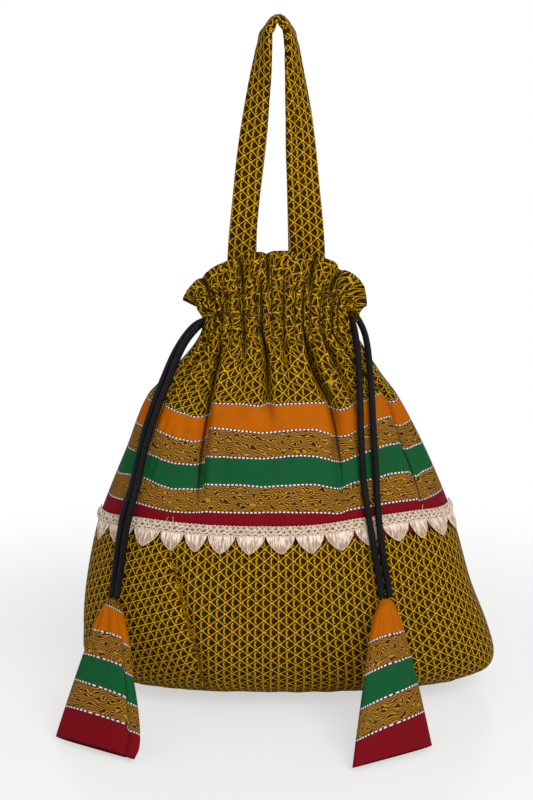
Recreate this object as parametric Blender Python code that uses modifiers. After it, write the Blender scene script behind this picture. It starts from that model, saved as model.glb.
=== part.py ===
"""Potli bag: a gathered brocade drawstring bag with a lace border, a strap and two tassels.

The bag stands on its base with its front towards -Y. Sizes below are in millimetres, and
mesh_object turns them into metres. Heights are measured from the surface it stands on.
"""

import bisect
import math

import bmesh
import bpy
from mathutils import Vector

MM = 0.001

# Cloth
WALL = 1.6
SEAM_GAP = 0.3
CLEARANCE = 0.4

# Bag body: rows of (height, size)
LEFT_HALF_WIDTH = (
    (0, 74), (3, 112), (10, 140), (24, 156), (50, 158), (90, 155),
    (136, 146), (162, 137), (201, 121), (243, 104), (262, 86), (285, 66), (303, 56), (316, 55),
)
RIGHT_HALF_WIDTH = (
    (0, 100), (3, 148), (10, 170), (24, 178), (50, 173), (90, 158),
    (136, 145), (162, 136), (201, 119), (243, 97), (262, 83), (285, 68), (303, 56), (316, 55),
)
FRONT_DEPTH = (
    (0, 16), (3, 27), (10, 45), (24, 68), (50, 84), (90, 86),
    (136, 81), (162, 77), (201, 68), (243, 55), (262, 44), (285, 34), (303, 29), (316, 28),
)
BACK_DEPTH = (
    (0, 32), (3, 48), (10, 60), (24, 70), (50, 76), (90, 76),
    (136, 72), (162, 68), (201, 60), (243, 49), (262, 40), (285, 31), (303, 27), (316, 26),
)
SECTION_ROUNDNESS = 0.85
SEAM_TIGHTNESS = 4
CORNER_LIFT = 9
CORNER_LIFT_FADE = 26
CORNER_TIGHTNESS = 4
POUCH_RINGS = (0, 3, 10, 24, 42, 66, 92, 118, 144)

# Gathers at the neck and the frill above it
PLEATS = 7
COLUMNS_PER_PLEAT = 4
PLEAT_DEPTH = ((212, 0), (262, 2.4), (290, 4.6), (316, 4.6))
PLEAT_UNEVENNESS = 0.035
SEAM_FLAT_SHARE = 0.2
NECK_HEIGHT = 316
FRILL_FRONT_RISE = 50
FRILL_BACK_RISE = 37
FRILL_TIP_RISE = 4
FRILL_HALF_WIDTH = 74
FRILL_FRONT_DEPTH = 34
FRILL_BACK_DEPTH = 28
FRILL_PLEAT_DEPTH = 7
FRILL_ROUNDNESS = 1.1
FRILL_ROWS = (0.16, 0.34, 0.52, 0.76, 1)
PANEL_ROWS = 12
FRILL_FLARE = 1.7
FRILL_SIDE_GAP = 1.5

# Lace border. The petals' edges are shares of the length across the front.
LACE_HEIGHT = 154
BRAID_WIDTH = 7.6
BRAID_THICKNESS = 1.8
PETAL_PITCH_SHARE = 0.92
PETAL_LENGTH = 15
PETAL_THICKNESS = 1.4
PETAL_GAP = 0.3
PETAL_ROWS = (1, 0.72, 0.38, 0)
PETAL_TAPER = 1.35
PETAL_TIP_SHARE = 0.12
PETAL_EDGES = (
    0.045, 0.104, 0.178, 0.243, 0.2985, 0.35, 0.412, 0.476,
    0.54, 0.603, 0.6695, 0.734, 0.801, 0.85, 0.92, 0.985,
)
LAP = 8
LAP_STEP = 5
LAP_START = 1

# Channel for the drawcords
CORD_DIAMETER = 5.4
CASING_WALL = 1.2
CASING_BOTTOM = 297
CASING_TOP = 334
CASING_CLEARANCE = 0.8
CASING_SLOPE = 4
CASING_END_COLUMNS = 4
CHANNEL_ROOM = 1.8
CORD_SLIT_HALF_WIDTH = 11.5
CORD_SLIT_LOW = 299
CORD_SLIT_HIGH = 318
CORD_SLIT_FADE = 7

# Drawcords: each runs once round the channel, out at its own side and down to its tassel.
# The lists are the outer stretches, from the channel to the tassel, in front and behind.
CHANNEL_HALF_WIDTH = 50.9
CHANNEL_FRONT_DEPTH = 23.6
CHANNEL_BACK_DEPTH = 21.5
CHANNEL_STEP = 14
CHANNEL_END_ANGLE = 62
CHANNEL_HEIGHT = {"left": 304.5, "right": 312.0}
CORD_SPACING = 12
LEFT_FRONT_CORD = (
    (-52.5, -5.2, 304.5), (-60, -4, 303.5), (-68, -6.5, 298), (-76, -10.5, 288),
    (-82.5, -14.5, 275), (-87, -19, 261), (-92.8, -28.4, 245), (-99.3, -33.8, 225),
    (-104.8, -38.5, 204), (-109.8, -46, 181.5), (-114.4, -53.6, 164.5), (-117.8, -57.6, 150),
    (-119.8, -59.8, 137), (-121.8, -59.2, 122), (-124.3, -60.3, 107), (-126.1, -63.7, 94.7),
)
LEFT_BACK_CORD = (
    (-46.4, 9.4, 304.5), (-52.5, 5.0, 304.5), (-60, 4, 304), (-68.5, 2.5, 300), (-77.5, 0.5, 290.5),
    (-85, -2.5, 277.5), (-91, -9, 262), (-97.2, -24, 244.5), (-103.3, -29.2, 225),
    (-108.8, -33.9, 204), (-113.9, -41.4, 181.3), (-119.5, -50.2, 164.5), (-122.6, -53.4, 150),
    (-124.6, -55.6, 137), (-126.6, -55.2, 122), (-128.6, -55.9, 107), (-130.6, -59.7, 94.8),
)
RIGHT_FRONT_CORD = (
    (52.5, -5.2, 312), (59, -5, 310.5), (63.5, -9, 304.5), (65, -15, 295.5),
    (64.5, -23.5, 283.5), (64.5, -36, 263.5), (64.6, -45.6, 244), (65, -53.2, 224.5),
    (66, -58.7, 205), (67.6, -64.2, 185), (70.2, -71.8, 167), (73.1, -75.6, 150),
    (75.9, -78.2, 134), (78, -78.4, 122), (79.8, -79.2, 112), (81.3, -83.2, 101.4),
)
RIGHT_BACK_CORD = (
    (46.4, 9.4, 312), (52.5, 5.0, 312), (59.5, 4, 311), (66, 1.5, 306), (70.5, -4, 297),
    (72.4, -13, 286), (72.8, -24, 274), (73.4, -32.8, 262), (74.2, -42.6, 243),
    (75, -50.6, 224), (76.2, -57.2, 204), (77.2, -62, 184.6), (78.2, -69.8, 167),
    (79.9, -73.9, 150), (82, -76.5, 134), (84.2, -77, 122), (85.8, -78.2, 112),
    (87.2, -82.4, 101.5),
)

# Strap: its width along its length, the centre line as x and height above the neck, and the
# turn of its width about the line, in degrees from +X
STRAP_WIDTH = ((0, 22.5), (0.45, 21), (0.55, 21), (0.75, 27), (1, 28.5))
STRAP_THICKNESS = 7
STRAP_LINE = (
    (-27.5, -10), (-27.5, 45), (-24.5, 85), (-17.5, 145), (-11.5, 192), (-8.0, 214),
    (0.5, 224.5),
    (9.0, 214), (12.5, 189), (16.5, 150), (20.5, 91), (23.0, 45), (23.0, -10),
)
STRAP_TURN = (
    (0, 0), (0.12, 1), (0.3, 16), (0.42, 55), (0.5, 90), (0.58, 120), (0.75, 155), (0.9, 178), (1, 180),
)
STRAP_STATIONS = 46
STRAP_EDGE_STEPS = 4

# Tassels: (pivot, middle of the hem, direction of the hem from left to right)
TASSELS = {
    "left": ((-129.5, -63.5, 88.0), (-139.0, -146.0), (0.82, -0.57)),
    "right": ((84.5, -85.5, 95.0), (86.0, -163.0), (0.88, 0.474)),
}
TASSEL_CAP_RADIUS = 6.5
TASSEL_HEM_HALF_WIDTH = 37
TASSEL_HEM_HALF_DEPTH = 7
TASSEL_TAPER = 0.75
TASSEL_WALL = 1.5
TASSEL_SIDES = 20
TASSEL_ROWS = 8
TASSEL_BULGE = 0.8
TASSEL_SQUARE_SHARE = 0.5
CAP_LATITUDES = (68, 40, 8)
FRAME_TRIES = 6

# Folds in the front: (line of (height, x), setback, width of the edge, reach, side)
FOLDS = (
    (((150, -58), (195, -57), (245, -52), (278, -45), (303, -41)), 9, 7, 60, -1),
    (((150, 49), (195, 47), (245, 42), (262, 33), (300, 22)), 6, 6, 34, 1),
    (((150, 116), (180, 108), (215, 97), (246, 86)), 6, 6, 60, 1),
)
FOLD_LOW = 164
FOLD_FULL = 194
FOLD_FADING = 270
FOLD_HIGH = 300
FOLD_END_FADE = 20
FOLD_SIDE_SHARE = 0.35

COLUMNS = PLEATS * COLUMNS_PER_PLEAT
FRONT, BACK = -1, 1

# How finely lines are read
FINE_SHARES = 400
LINE_STEPS = 24
SEAT_READINGS = 60


def eased(table, place):
    """The smooth value at a place between the rows of a (place, value) table."""
    places = [row[0] for row in table]
    values = [row[1] for row in table]
    if place <= places[0]:
        return values[0]
    if place >= places[-1]:
        return values[-1]
    k = bisect.bisect_right(places, place) - 1

    def slope(i):
        low, high = max(i - 1, 0), min(i + 1, len(places) - 1)
        return (values[high] - values[low]) / (places[high] - places[low])

    span = places[k + 1] - places[k]
    t = (place - places[k]) / span
    return (
        values[k] * (1 + 2 * t) * (1 - t) ** 2
        + values[k + 1] * t * t * (3 - 2 * t)
        + slope(k) * span * t * (1 - t) ** 2
        - slope(k + 1) * span * t * t * (1 - t)
    )


def smooth_step(low, high, value):
    """0 below low, 1 above high, and a smooth rise between."""
    t = min(max((value - low) / (high - low), 0), 1)
    return t * t * (3 - 2 * t)


def mix(a, b, t):
    return a + (b - a) * t


def fold_setback(x, height):
    """How far the folds set the front cloth back at one point."""
    total = 0
    strength = smooth_step(FOLD_LOW, FOLD_FULL, height)
    strength *= 1 - smooth_step(FOLD_FADING, FOLD_HIGH, height)
    for line, setback, edge, reach, side in FOLDS:
        beyond = (x - eased(line, height)) * side
        if height > line[-1][0]:
            strength *= math.exp(-(height - line[-1][0]) / FOLD_END_FADE)
        total += setback * strength * smooth_step(-edge, edge, beyond) * math.exp(
            -max(beyond, 0) / reach
        )
    return total


def seam_half_gap(height):
    """Half the space between the two panels at the side seams, wide where the cords come out."""
    opening = smooth_step(CORD_SLIT_LOW - CORD_SLIT_FADE, CORD_SLIT_LOW, height)
    opening *= 1 - smooth_step(CORD_SLIT_HIGH, CORD_SLIT_HIGH + CORD_SLIT_FADE, height)
    return mix(SEAM_GAP, CORD_SLIT_HALF_WIDTH, opening)


def column_angle(share):
    """The angle about the bag of a column, for shares 0 to 1 from the left seam to the right."""
    uneven = math.sin(4 * math.pi * share) + 0.6 * math.sin(6 * math.pi * share)
    return (2 * share - 1 + PLEAT_UNEVENNESS * uneven) * math.pi / 2


def pleat_wave(share):
    """0 in the valley of a pleat and 1 on its ridge, and flat at the side seams."""
    flat = smooth_step(0, SEAM_FLAT_SHARE, min(share, 1 - share))
    return flat * (0.5 - 0.5 * math.cos(2 * math.pi * PLEATS * share))


def body_point(share, height, face, out=0.0, pleated=1.0, split=True):
    """A point of the bag's cloth below the frill, moved out by a distance."""
    angle = column_angle(share)
    sine, cosine = math.sin(angle), max(math.cos(angle), 0)
    half_width = eased(LEFT_HALF_WIDTH if sine < 0 else RIGHT_HALF_WIDTH, height)
    depth = eased(FRONT_DEPTH if face == FRONT else BACK_DEPTH, height)
    gap = seam_half_gap(height) if split else 0
    x = half_width * sine
    round_share = cosine**SECTION_ROUNDNESS
    y = face * (depth * round_share + gap * (1 - round_share) ** SEAM_TIGHTNESS)
    normal = Vector((sine / half_width, face * cosine / depth, 0)).normalized()
    if face == FRONT:
        y += fold_setback(x, height) * smooth_step(0, FOLD_SIDE_SHARE, cosine)
    ripple = eased(PLEAT_DEPTH, height) * pleat_wave(share) * pleated
    return Vector((x, y, height)) + normal * (ripple + out)


def frill_point(share, rise, face):
    """A point of the frill, for rises 0 at the neck to 1 at the top edge."""
    low = body_point(share, NECK_HEIGHT, face, pleated=0)
    angle = column_angle(share)
    sine, cosine = math.sin(angle), max(math.cos(angle), 0)
    depth = FRILL_FRONT_DEPTH if face == FRONT else FRILL_BACK_DEPTH
    middle_rise = FRILL_FRONT_RISE if face == FRONT else FRILL_BACK_RISE
    top = Vector((
        FRILL_HALF_WIDTH * sine,
        face * (FRILL_SIDE_GAP + (depth - FRILL_SIDE_GAP) * cosine**SECTION_ROUNDNESS),
        NECK_HEIGHT + mix(FRILL_TIP_RISE, middle_rise, cosine**FRILL_ROUNDNESS),
    ))
    height = mix(low.z, top.z, rise)
    flare = rise**FRILL_FLARE
    gap = seam_half_gap(height)
    point = Vector((mix(low.x, top.x, flare), mix(low.y, top.y, flare), height))
    if abs(point.y) < gap:
        point.y = face * gap
    normal = Vector((sine / FRILL_HALF_WIDTH, face * cosine / depth, 0)).normalized()
    ripple = mix(PLEAT_DEPTH[-1][1], FRILL_PLEAT_DEPTH, rise) * pleat_wave(share)
    return point + normal * ripple


def material(name, color, roughness):
    made = bpy.data.materials.new(name)
    made.use_nodes = True
    shader = made.node_tree.nodes["Principled BSDF"]
    shader.inputs["Base Color"].default_value = (*color, 1)
    shader.inputs["Roughness"].default_value = roughness
    shader.inputs["Metallic"].default_value = 0
    return made


def mesh_object(name, points, faces, finish, origin=Vector()):
    """A mesh object from points in millimetres, with its origin at a chosen place."""
    mesh = bpy.data.meshes.new(name)
    mesh.from_pydata([(point - origin) * MM for point in points], [], faces)
    mesh.shade_smooth()
    mesh.materials.append(finish)
    made = bpy.data.objects.new(name, mesh)
    made.location = origin * MM
    collection.objects.link(made)
    return made


def face_outwards(made):
    """Turns every face of a mesh to its outer side."""
    shell = bmesh.new()
    shell.from_mesh(made.data)
    bmesh.ops.recalc_face_normals(shell, faces=shell.faces)
    shell.to_mesh(made.data)
    shell.free()


def thicken(made, wall):
    """Gives an open sheet its thickness, inwards from its faces."""
    solid = made.modifiers.new("Cloth", "SOLIDIFY")
    solid.thickness = wall * MM
    solid.offset = -1
    solid.use_even_offset = False


def grid_faces(rows, columns, outwards=True, closed=False):
    """The faces between rows of points, each of the given number of points."""
    faces = []
    spans = columns if closed else columns - 1
    for row in range(rows - 1):
        for column in range(spans):
            beside = (column + 1) % columns
            corners = [
                row * columns + column,
                row * columns + beside,
                (row + 1) * columns + beside,
                (row + 1) * columns + column,
            ]
            faces.append(corners if outwards else corners[::-1])
    return faces


def sheet(name, rows, face, finish, wall):
    """A cloth sheet from rows of points that run up, each from left to right."""
    points = [point for row in rows for point in row]
    faces = grid_faces(len(rows), len(rows[0]), face == FRONT)
    thicken(mesh_object(name, points, faces, finish), wall)


def shares():
    return [column / COLUMNS for column in range(COLUMNS + 1)]


def panel(name, face, finish):
    """The upper cloth of one side, from the lap behind the lace to the top of the frill."""
    low = LACE_HEIGHT - BRAID_WIDTH / 2
    heights = [mix(low, NECK_HEIGHT, k / PANEL_ROWS) for k in range(PANEL_ROWS + 1)]
    rows = [[body_point(share, height, face) for share in shares()] for height in heights]
    for rise in FRILL_ROWS:
        rows.append([frill_point(share, rise, face) for share in shares()])
    sheet(name, rows, face, finish, WALL)


def lower_pouch(finish):
    """The cloth below the lace, closed at the bottom, with its top edge lapped inside the panels."""
    low = LACE_HEIGHT - BRAID_WIDTH / 2
    inset = WALL + CLEARANCE
    rings = [(height, 0) for height in POUCH_RINGS if height < low - LAP_STEP]
    rings += [(low - LAP_START, -inset), (low + LAP, -inset)]
    points = []
    for height, out in rings:
        front = [body_point(share, height, FRONT, out, split=False) for share in shares()]
        back = [body_point(share, height, BACK, out, split=False) for share in shares()]
        back = back[-2:0:-1]
        for point in front + back:
            if height > 0:
                side = abs(point.x) / eased(RIGHT_HALF_WIDTH, height)
                lift = side**CORNER_TIGHTNESS * math.exp(-height / CORNER_LIFT_FADE)
                point.z += CORNER_LIFT * lift
            points.append(point)
    around = 2 * COLUMNS
    faces = grid_faces(len(rings), around, closed=True)
    faces.append(list(range(around))[::-1])
    thicken(mesh_object("lower_pouch", points, faces, finish), WALL)


def casing(name, face, finish):
    """The strip inside the neck that holds the cords against the panel."""
    bulge = CORD_DIAMETER + CHANNEL_ROOM
    rows = []
    top = CASING_TOP - CASING_SLOPE
    for height, room in (
        (CASING_BOTTOM, 0), (CASING_BOTTOM + CASING_SLOPE, bulge), (top - CASING_SLOPE, bulge), (top, 0),
    ):
        inward = WALL + CASING_CLEARANCE + room
        row = [
            body_point(share, min(height, NECK_HEIGHT), face, -inward, pleated=0)
            for share in shares()[CASING_END_COLUMNS:-CASING_END_COLUMNS]
        ]
        for point in row:
            point.z = height
        rows.append(row)
    sheet(name, rows, face, finish, CASING_WALL)


def braid(finish):
    """The crocheted band over the panel's lower edge."""
    rows = []
    out = 2 * CLEARANCE + BRAID_THICKNESS
    for height in (LACE_HEIGHT - BRAID_WIDTH / 2, LACE_HEIGHT, LACE_HEIGHT + BRAID_WIDTH / 2):
        rows.append([body_point(share, height, FRONT, out) for share in shares()])
    sheet("lace_braid", rows, FRONT, finish, BRAID_THICKNESS)


def share_lengths(height):
    """Fine shares along the front of the bag with the length of cloth up to each."""
    fine = [k / FINE_SHARES for k in range(FINE_SHARES + 1)]
    places = [body_point(share, height, FRONT) for share in fine]
    lengths = [0]
    for a, b in zip(places, places[1:]):
        lengths.append(lengths[-1] + (b - a).length)
    return fine, lengths


def share_at(fine, lengths, length):
    k = min(max(bisect.bisect_right(lengths, length) - 1, 0), len(fine) - 2)
    t = (length - lengths[k]) / (lengths[k + 1] - lengths[k])
    return mix(fine[k], fine[k + 1], min(max(t, 0), 1))


def petals(finish):
    """The satin petals below the braid, each between its two places along the cloth."""
    top = LACE_HEIGHT - BRAID_WIDTH / 2 - PETAL_GAP
    fine, lengths = share_lengths(top)
    for number, (start, end) in enumerate(zip(PETAL_EDGES, PETAL_EDGES[1:]), 1):
        middle = lengths[-1] * (start + end) / 2
        half = lengths[-1] * (end - start) * PETAL_PITCH_SHARE / 2
        rows = []
        for down in PETAL_ROWS:
            height = top - PETAL_LENGTH * down
            width = half * (1 - down**PETAL_TAPER + PETAL_TIP_SHARE * down)
            out = 2 * CLEARANCE + PETAL_THICKNESS
            rows.append([
                body_point(share_at(fine, lengths, middle + width * side), height, FRONT, out)
                for side in (-1, -0.5, 0, 0.5, 1)
            ])
        sheet(f"lace_petal_{number:02d}", rows, FRONT, finish, PETAL_THICKNESS)


def catmull(points, stations):
    """A smooth line through points, read at even steps."""
    ends = [points[0] * 2 - points[1], *points, points[-1] * 2 - points[-2]]
    lengths = [0]
    fine = []
    for a, b, c, d in zip(ends, ends[1:], ends[2:], ends[3:]):
        for k in range(LINE_STEPS):
            t = k / LINE_STEPS
            fine.append(
                (b * 2 + (c - a) * t + (a * 2 - b * 5 + c * 4 - d) * t**2
                 + (b * 3 - a - c * 3 + d) * t**3) / 2
            )
    fine.append(points[-1])
    for a, b in zip(fine, fine[1:]):
        lengths.append(lengths[-1] + (b - a).length)
    line = []
    for k in range(stations):
        length = lengths[-1] * k / (stations - 1)
        i = min(max(bisect.bisect_right(lengths, length) - 1, 0), len(fine) - 2)
        t = (length - lengths[i]) / (lengths[i + 1] - lengths[i])
        line.append(fine[i].lerp(fine[i + 1], t))
    return line


def channel_loop(side):
    """The points of one cord's turn inside the channel, from its front end to its back end."""
    sign = -1 if side == "left" else 1
    points = []
    angle = CHANNEL_END_ANGLE
    while angle > CHANNEL_END_ANGLE - 360 + 2 * (90 - CHANNEL_END_ANGLE):
        turn = math.radians(angle)
        depth = -CHANNEL_FRONT_DEPTH if math.cos(turn) > 0 else CHANNEL_BACK_DEPTH
        x = sign * CHANNEL_HALF_WIDTH * math.sin(turn)
        y = depth * abs(math.cos(turn)) ** SECTION_ROUNDNESS
        points.append(Vector((x, y, CHANNEL_HEIGHT[side])))
        angle -= CHANNEL_STEP
    return points


def drawcord(side, front, back, finish):
    """One cord from its tassel, round the channel and back to the same tassel."""
    route = [Vector(point) for point in front[::-1]]
    route += channel_loop(side)
    route += [Vector(point) for point in back]
    length = sum((b - a).length for a, b in zip(route, route[1:]))
    line = catmull(route, round(length / CORD_SPACING))
    curve = bpy.data.curves.new(f"{side}_drawcord", "CURVE")
    curve.dimensions = "3D"
    curve.bevel_depth = CORD_DIAMETER / 2 * MM
    curve.bevel_resolution = 2
    curve.use_fill_caps = True
    spline = curve.splines.new("POLY")
    spline.points.add(len(line) - 1)
    for knot, place in zip(spline.points, line):
        knot.co = (*(place * MM), 1)
    curve.materials.append(finish)
    collection.objects.link(bpy.data.objects.new(f"{side}_drawcord", curve))


def strap_seat():
    """How far forward the strap's ends can stand against the front casing."""
    inward = WALL + CASING_CLEARANCE + CORD_DIAMETER + CHANNEL_ROOM + CASING_WALL
    seats = []
    for share in [k / SEAT_READINGS for k in range(SEAT_READINGS + 1)]:
        place = body_point(share, NECK_HEIGHT, FRONT, -inward, pleated=0)
        for end, width in ((STRAP_LINE[0], STRAP_WIDTH[0]), (STRAP_LINE[-1], STRAP_WIDTH[-1])):
            if abs(place.x - end[0]) < (width[1] - STRAP_THICKNESS) / 2:
                seats.append(place.y)
    return max(seats) + CLEARANCE + STRAP_THICKNESS / 2


def strap(finish):
    """One flattened tube, folded into a loop, with both ends inside the neck."""
    seat = strap_seat()
    line = [Vector((x, seat, NECK_HEIGHT + rise)) for x, rise in STRAP_LINE]
    line = catmull(line, STRAP_STATIONS)
    corner = STRAP_THICKNESS / 2
    points = []
    for k, centre in enumerate(line):
        flat = eased(STRAP_WIDTH, k / (len(line) - 1)) / 2 - corner
        outline = []
        for middle, start in ((flat, -90), (-flat, 90)):
            for step in range(STRAP_EDGE_STEPS + 1):
                angle = math.radians(start + 180 * step / STRAP_EDGE_STEPS)
                outline.append((middle + corner * math.cos(angle), corner * math.sin(angle)))
        ahead = line[min(k + 1, len(line) - 1)] - line[max(k - 1, 0)]
        turn = math.radians(eased(STRAP_TURN, k / (len(line) - 1)))
        across = Vector((math.cos(turn), -math.sin(turn), 0))
        across -= ahead * across.dot(ahead) / ahead.dot(ahead)
        across.normalize()
        over = ahead.normalized().cross(across)
        points += [centre + across * u + over * v for u, v in outline]
    sides = len(outline)
    faces = grid_faces(len(line), sides, closed=True)
    faces.append(list(range(sides))[::-1])
    faces.append([len(points) - sides + k for k in range(sides)])
    face_outwards(mesh_object("strap_handle", points, faces, finish))


def tassel_frame(pivot, hem_middle, across):
    """The pivot, the middle of the hem, and the directions across and through a tassel."""
    top = Vector(pivot)
    wide = Vector((*across, 0)).normalized()
    hem = Vector((*hem_middle, TASSEL_HEM_HALF_DEPTH))
    for _ in range(FRAME_TRIES):
        down = (hem - top).normalized()
        through = down.cross(wide).normalized()
        hem.z = abs(through.z) * TASSEL_HEM_HALF_DEPTH + CLEARANCE
    return top, hem, down, wide, through


def tassel(side, finish):
    """A hollow flattened cone, capped by a dome about its pivot and open at the hem."""
    top, hem, down, wide, through = tassel_frame(*TASSELS[side])
    points = []
    square = wide - down * wide.dot(down)
    square.normalize()
    angles = [2 * math.pi * k / TASSEL_SIDES for k in range(TASSEL_SIDES)]
    for latitude in CAP_LATITUDES:
        high = math.sin(math.radians(latitude)) * TASSEL_CAP_RADIUS
        wide_here = math.cos(math.radians(latitude)) * TASSEL_CAP_RADIUS
        for angle in angles:
            spread = square * math.cos(angle) + through * math.sin(angle)
            points.append(top - down * high + spread * wide_here)
    for row in range(1, TASSEL_ROWS + 1):
        t = row / TASSEL_ROWS
        middle = top.lerp(hem, t)
        half_width = mix(TASSEL_CAP_RADIUS, TASSEL_HEM_HALF_WIDTH, t**TASSEL_TAPER)
        half_depth = mix(TASSEL_CAP_RADIUS, TASSEL_HEM_HALF_DEPTH, t)
        cross = square.lerp(wide, min(t / TASSEL_SQUARE_SHARE, 1))
        for angle in angles:
            cosine, sine = math.cos(angle), math.sin(angle)
            flat = math.copysign(abs(cosine) ** TASSEL_BULGE, cosine)
            deep = math.copysign(abs(sine) ** TASSEL_BULGE, sine)
            points.append(middle + cross * half_width * flat + through * half_depth * deep)
    rings = len(points) // TASSEL_SIDES
    faces = grid_faces(rings, TASSEL_SIDES, closed=True)
    faces.append(list(range(TASSEL_SIDES))[::-1])
    made = mesh_object(f"{side}_tassel", points, faces, finish, top)
    face_outwards(made)
    thicken(made, TASSEL_WALL)


def main():
    brocade = material("brocade", (0.035, 0.022, 0.004), 0.55)
    stripes = material("striped_brocade", (0.25, 0.11, 0.015), 0.5)
    lining = material("maroon_cloth", (0.09, 0.01, 0.012), 0.7)
    lace = material("lace", (0.76, 0.65, 0.51), 0.6)
    satin = material("satin", (0.75, 0.57, 0.45), 0.4)
    braided = material("black_cord", (0.012, 0.012, 0.014), 0.65)
    lower_pouch(brocade)
    panel("front_panel", FRONT, stripes)
    panel("back_panel", BACK, brocade)
    casing("front_casing", FRONT, lining)
    casing("back_casing", BACK, lining)
    braid(lace)
    petals(satin)
    strap(brocade)
    drawcord("left", LEFT_FRONT_CORD, LEFT_BACK_CORD, braided)
    drawcord("right", RIGHT_FRONT_CORD, RIGHT_BACK_CORD, braided)
    for side in TASSELS:
        tassel(side, stripes)


for existing in list(bpy.data.objects):
    bpy.data.objects.remove(existing)
collection = bpy.data.collections.new("potli_bag")
bpy.context.scene.collection.children.link(collection)
main()
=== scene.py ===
"""A gathered potli bag in brocade cloth, with a lace border, a strap loop and two cord tassels.

Lengths in the tables are in millimetres, heights from the floor, and the front faces -Y.
"""

import math

import bpy
import numpy as np
from bpy.props import FloatProperty, FloatVectorProperty, IntProperty, PointerProperty
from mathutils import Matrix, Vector


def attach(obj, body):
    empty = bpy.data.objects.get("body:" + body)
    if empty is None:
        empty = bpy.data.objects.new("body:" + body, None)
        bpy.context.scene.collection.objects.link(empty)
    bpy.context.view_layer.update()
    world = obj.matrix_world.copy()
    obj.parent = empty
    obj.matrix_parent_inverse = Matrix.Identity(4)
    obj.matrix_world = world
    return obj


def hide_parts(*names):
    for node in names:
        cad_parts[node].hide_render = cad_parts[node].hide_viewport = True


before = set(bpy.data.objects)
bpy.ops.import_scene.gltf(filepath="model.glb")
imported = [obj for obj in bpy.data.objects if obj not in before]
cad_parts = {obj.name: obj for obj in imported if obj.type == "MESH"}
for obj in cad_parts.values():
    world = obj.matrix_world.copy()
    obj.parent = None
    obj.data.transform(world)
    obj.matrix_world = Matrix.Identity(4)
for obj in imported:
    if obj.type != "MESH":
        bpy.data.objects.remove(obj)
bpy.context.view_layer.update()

bl_info = {
    "name": "Potli bag",
    "version": (1, 0, 0),
    "blender": (4, 5, 0),
    "location": "3D View > Sidebar > Potli bag",
    "description": "Builds a gathered brocade bag with lace, cords and tassels",
    "category": "Add Mesh",
}

MM = 0.001
FULL_TURN = 2 * math.pi
FRONT, BACK = -1, 1

# Bag body: rows of (height, size)
LEFT_HALF_WIDTH = (
    (0, 74), (3, 112), (10, 140), (24, 156), (50, 158), (90, 155),
    (136, 146), (162, 137), (201, 121), (243, 104), (262, 86), (285, 66), (303, 56.5),
    (309, 57.5), (316, 62),
)
RIGHT_HALF_WIDTH = (
    (0, 100), (3, 148), (10, 170), (24, 178), (50, 173), (90, 158),
    (136, 145), (162, 136), (201, 119), (243, 97), (262, 83), (285, 68), (303, 56), (316, 55),
)
DEPTH = {
    FRONT: (
        (0, 16), (3, 27), (10, 45), (24, 68), (50, 84), (90, 86),
        (136, 81), (162, 77), (201, 68), (243, 55), (262, 44), (285, 34), (303, 29), (316, 28),
    ),
    BACK: (
        (0, 32), (3, 48), (10, 60), (24, 70), (50, 76), (90, 76),
        (136, 72), (162, 68), (201, 60), (243, 49), (262, 40), (285, 31), (303, 27), (316, 26),
    ),
}
ROUNDNESS = 0.85
UNEVENNESS = 0.035
CORNER_LIFT = 9
CORNER_LIFT_FADE = 26
SEAM_GAP = 0.3
NECK_HEIGHT = 316
SLIT_HALF_WIDTH = 11.5
SLIT = (299, 318)
SLIT_FADE = 7

# Cloth coordinates: the width of each half, and the height where its length starts
CLOTH_WIDTH = 358
LACE_HEIGHT = 154
PANEL_EDGE = 147
BELLY_HEIGHT = 85

# Setbacks beside the folds: line of (height, x), setback, width of the edge, reach, side
SETBACKS = (
    (((150, -58), (195, -57), (245, -52), (262, -49), (278, -45), (303, -41)), 9, 4, 60, -1),
    (((150, 49), (195, 47), (245, 42), (262, 33), (300, 22)), 6, 4, 34, 1),
    (((150, 116), (180, 108), (215, 97), (246, 86)), 6, 5, 60, 1),
)

# How far the front's stripes hang below even lines: left of the first fold by the distance from
# it, and elsewhere by x. Each row is the length along, the places across, and the amounts.
FROM_FOLD = (0, 12, 24, 36, 48, 60, 76)
LEFT_HANG = (
    (0, FROM_FOLD, (1.5, 1.5, 1, 0.5, 0, 0, 0)),
    (15, FROM_FOLD, (2.6, 3.8, 4.2, 2.4, 0.8, 0.5, 2.4)),
    (36, FROM_FOLD, (5.3, 4.7, 6.2, 3.8, 1.2, 1.1, 4.6)),
    (58, FROM_FOLD, (6.2, 7.5, 7.2, 5.3, 3.4, 3.5, 5)),
    (79, FROM_FOLD, (7.5, 8.7, 7.2, 4.6, 3.2, 3.4, 4)),
    (100, FROM_FOLD, (10.2, 9.8, 6.8, 3.4, 2.7, 2.7, 2.7)),
    (130, FROM_FOLD, (8, 8, 6, 4, 3, 3, 3)),
)
FROM_MIDDLE = (-50, -30, -12, 3, 18, 30, 40, 43, 45, 49, 55, 62, 70, 79, 88, 97)
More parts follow.
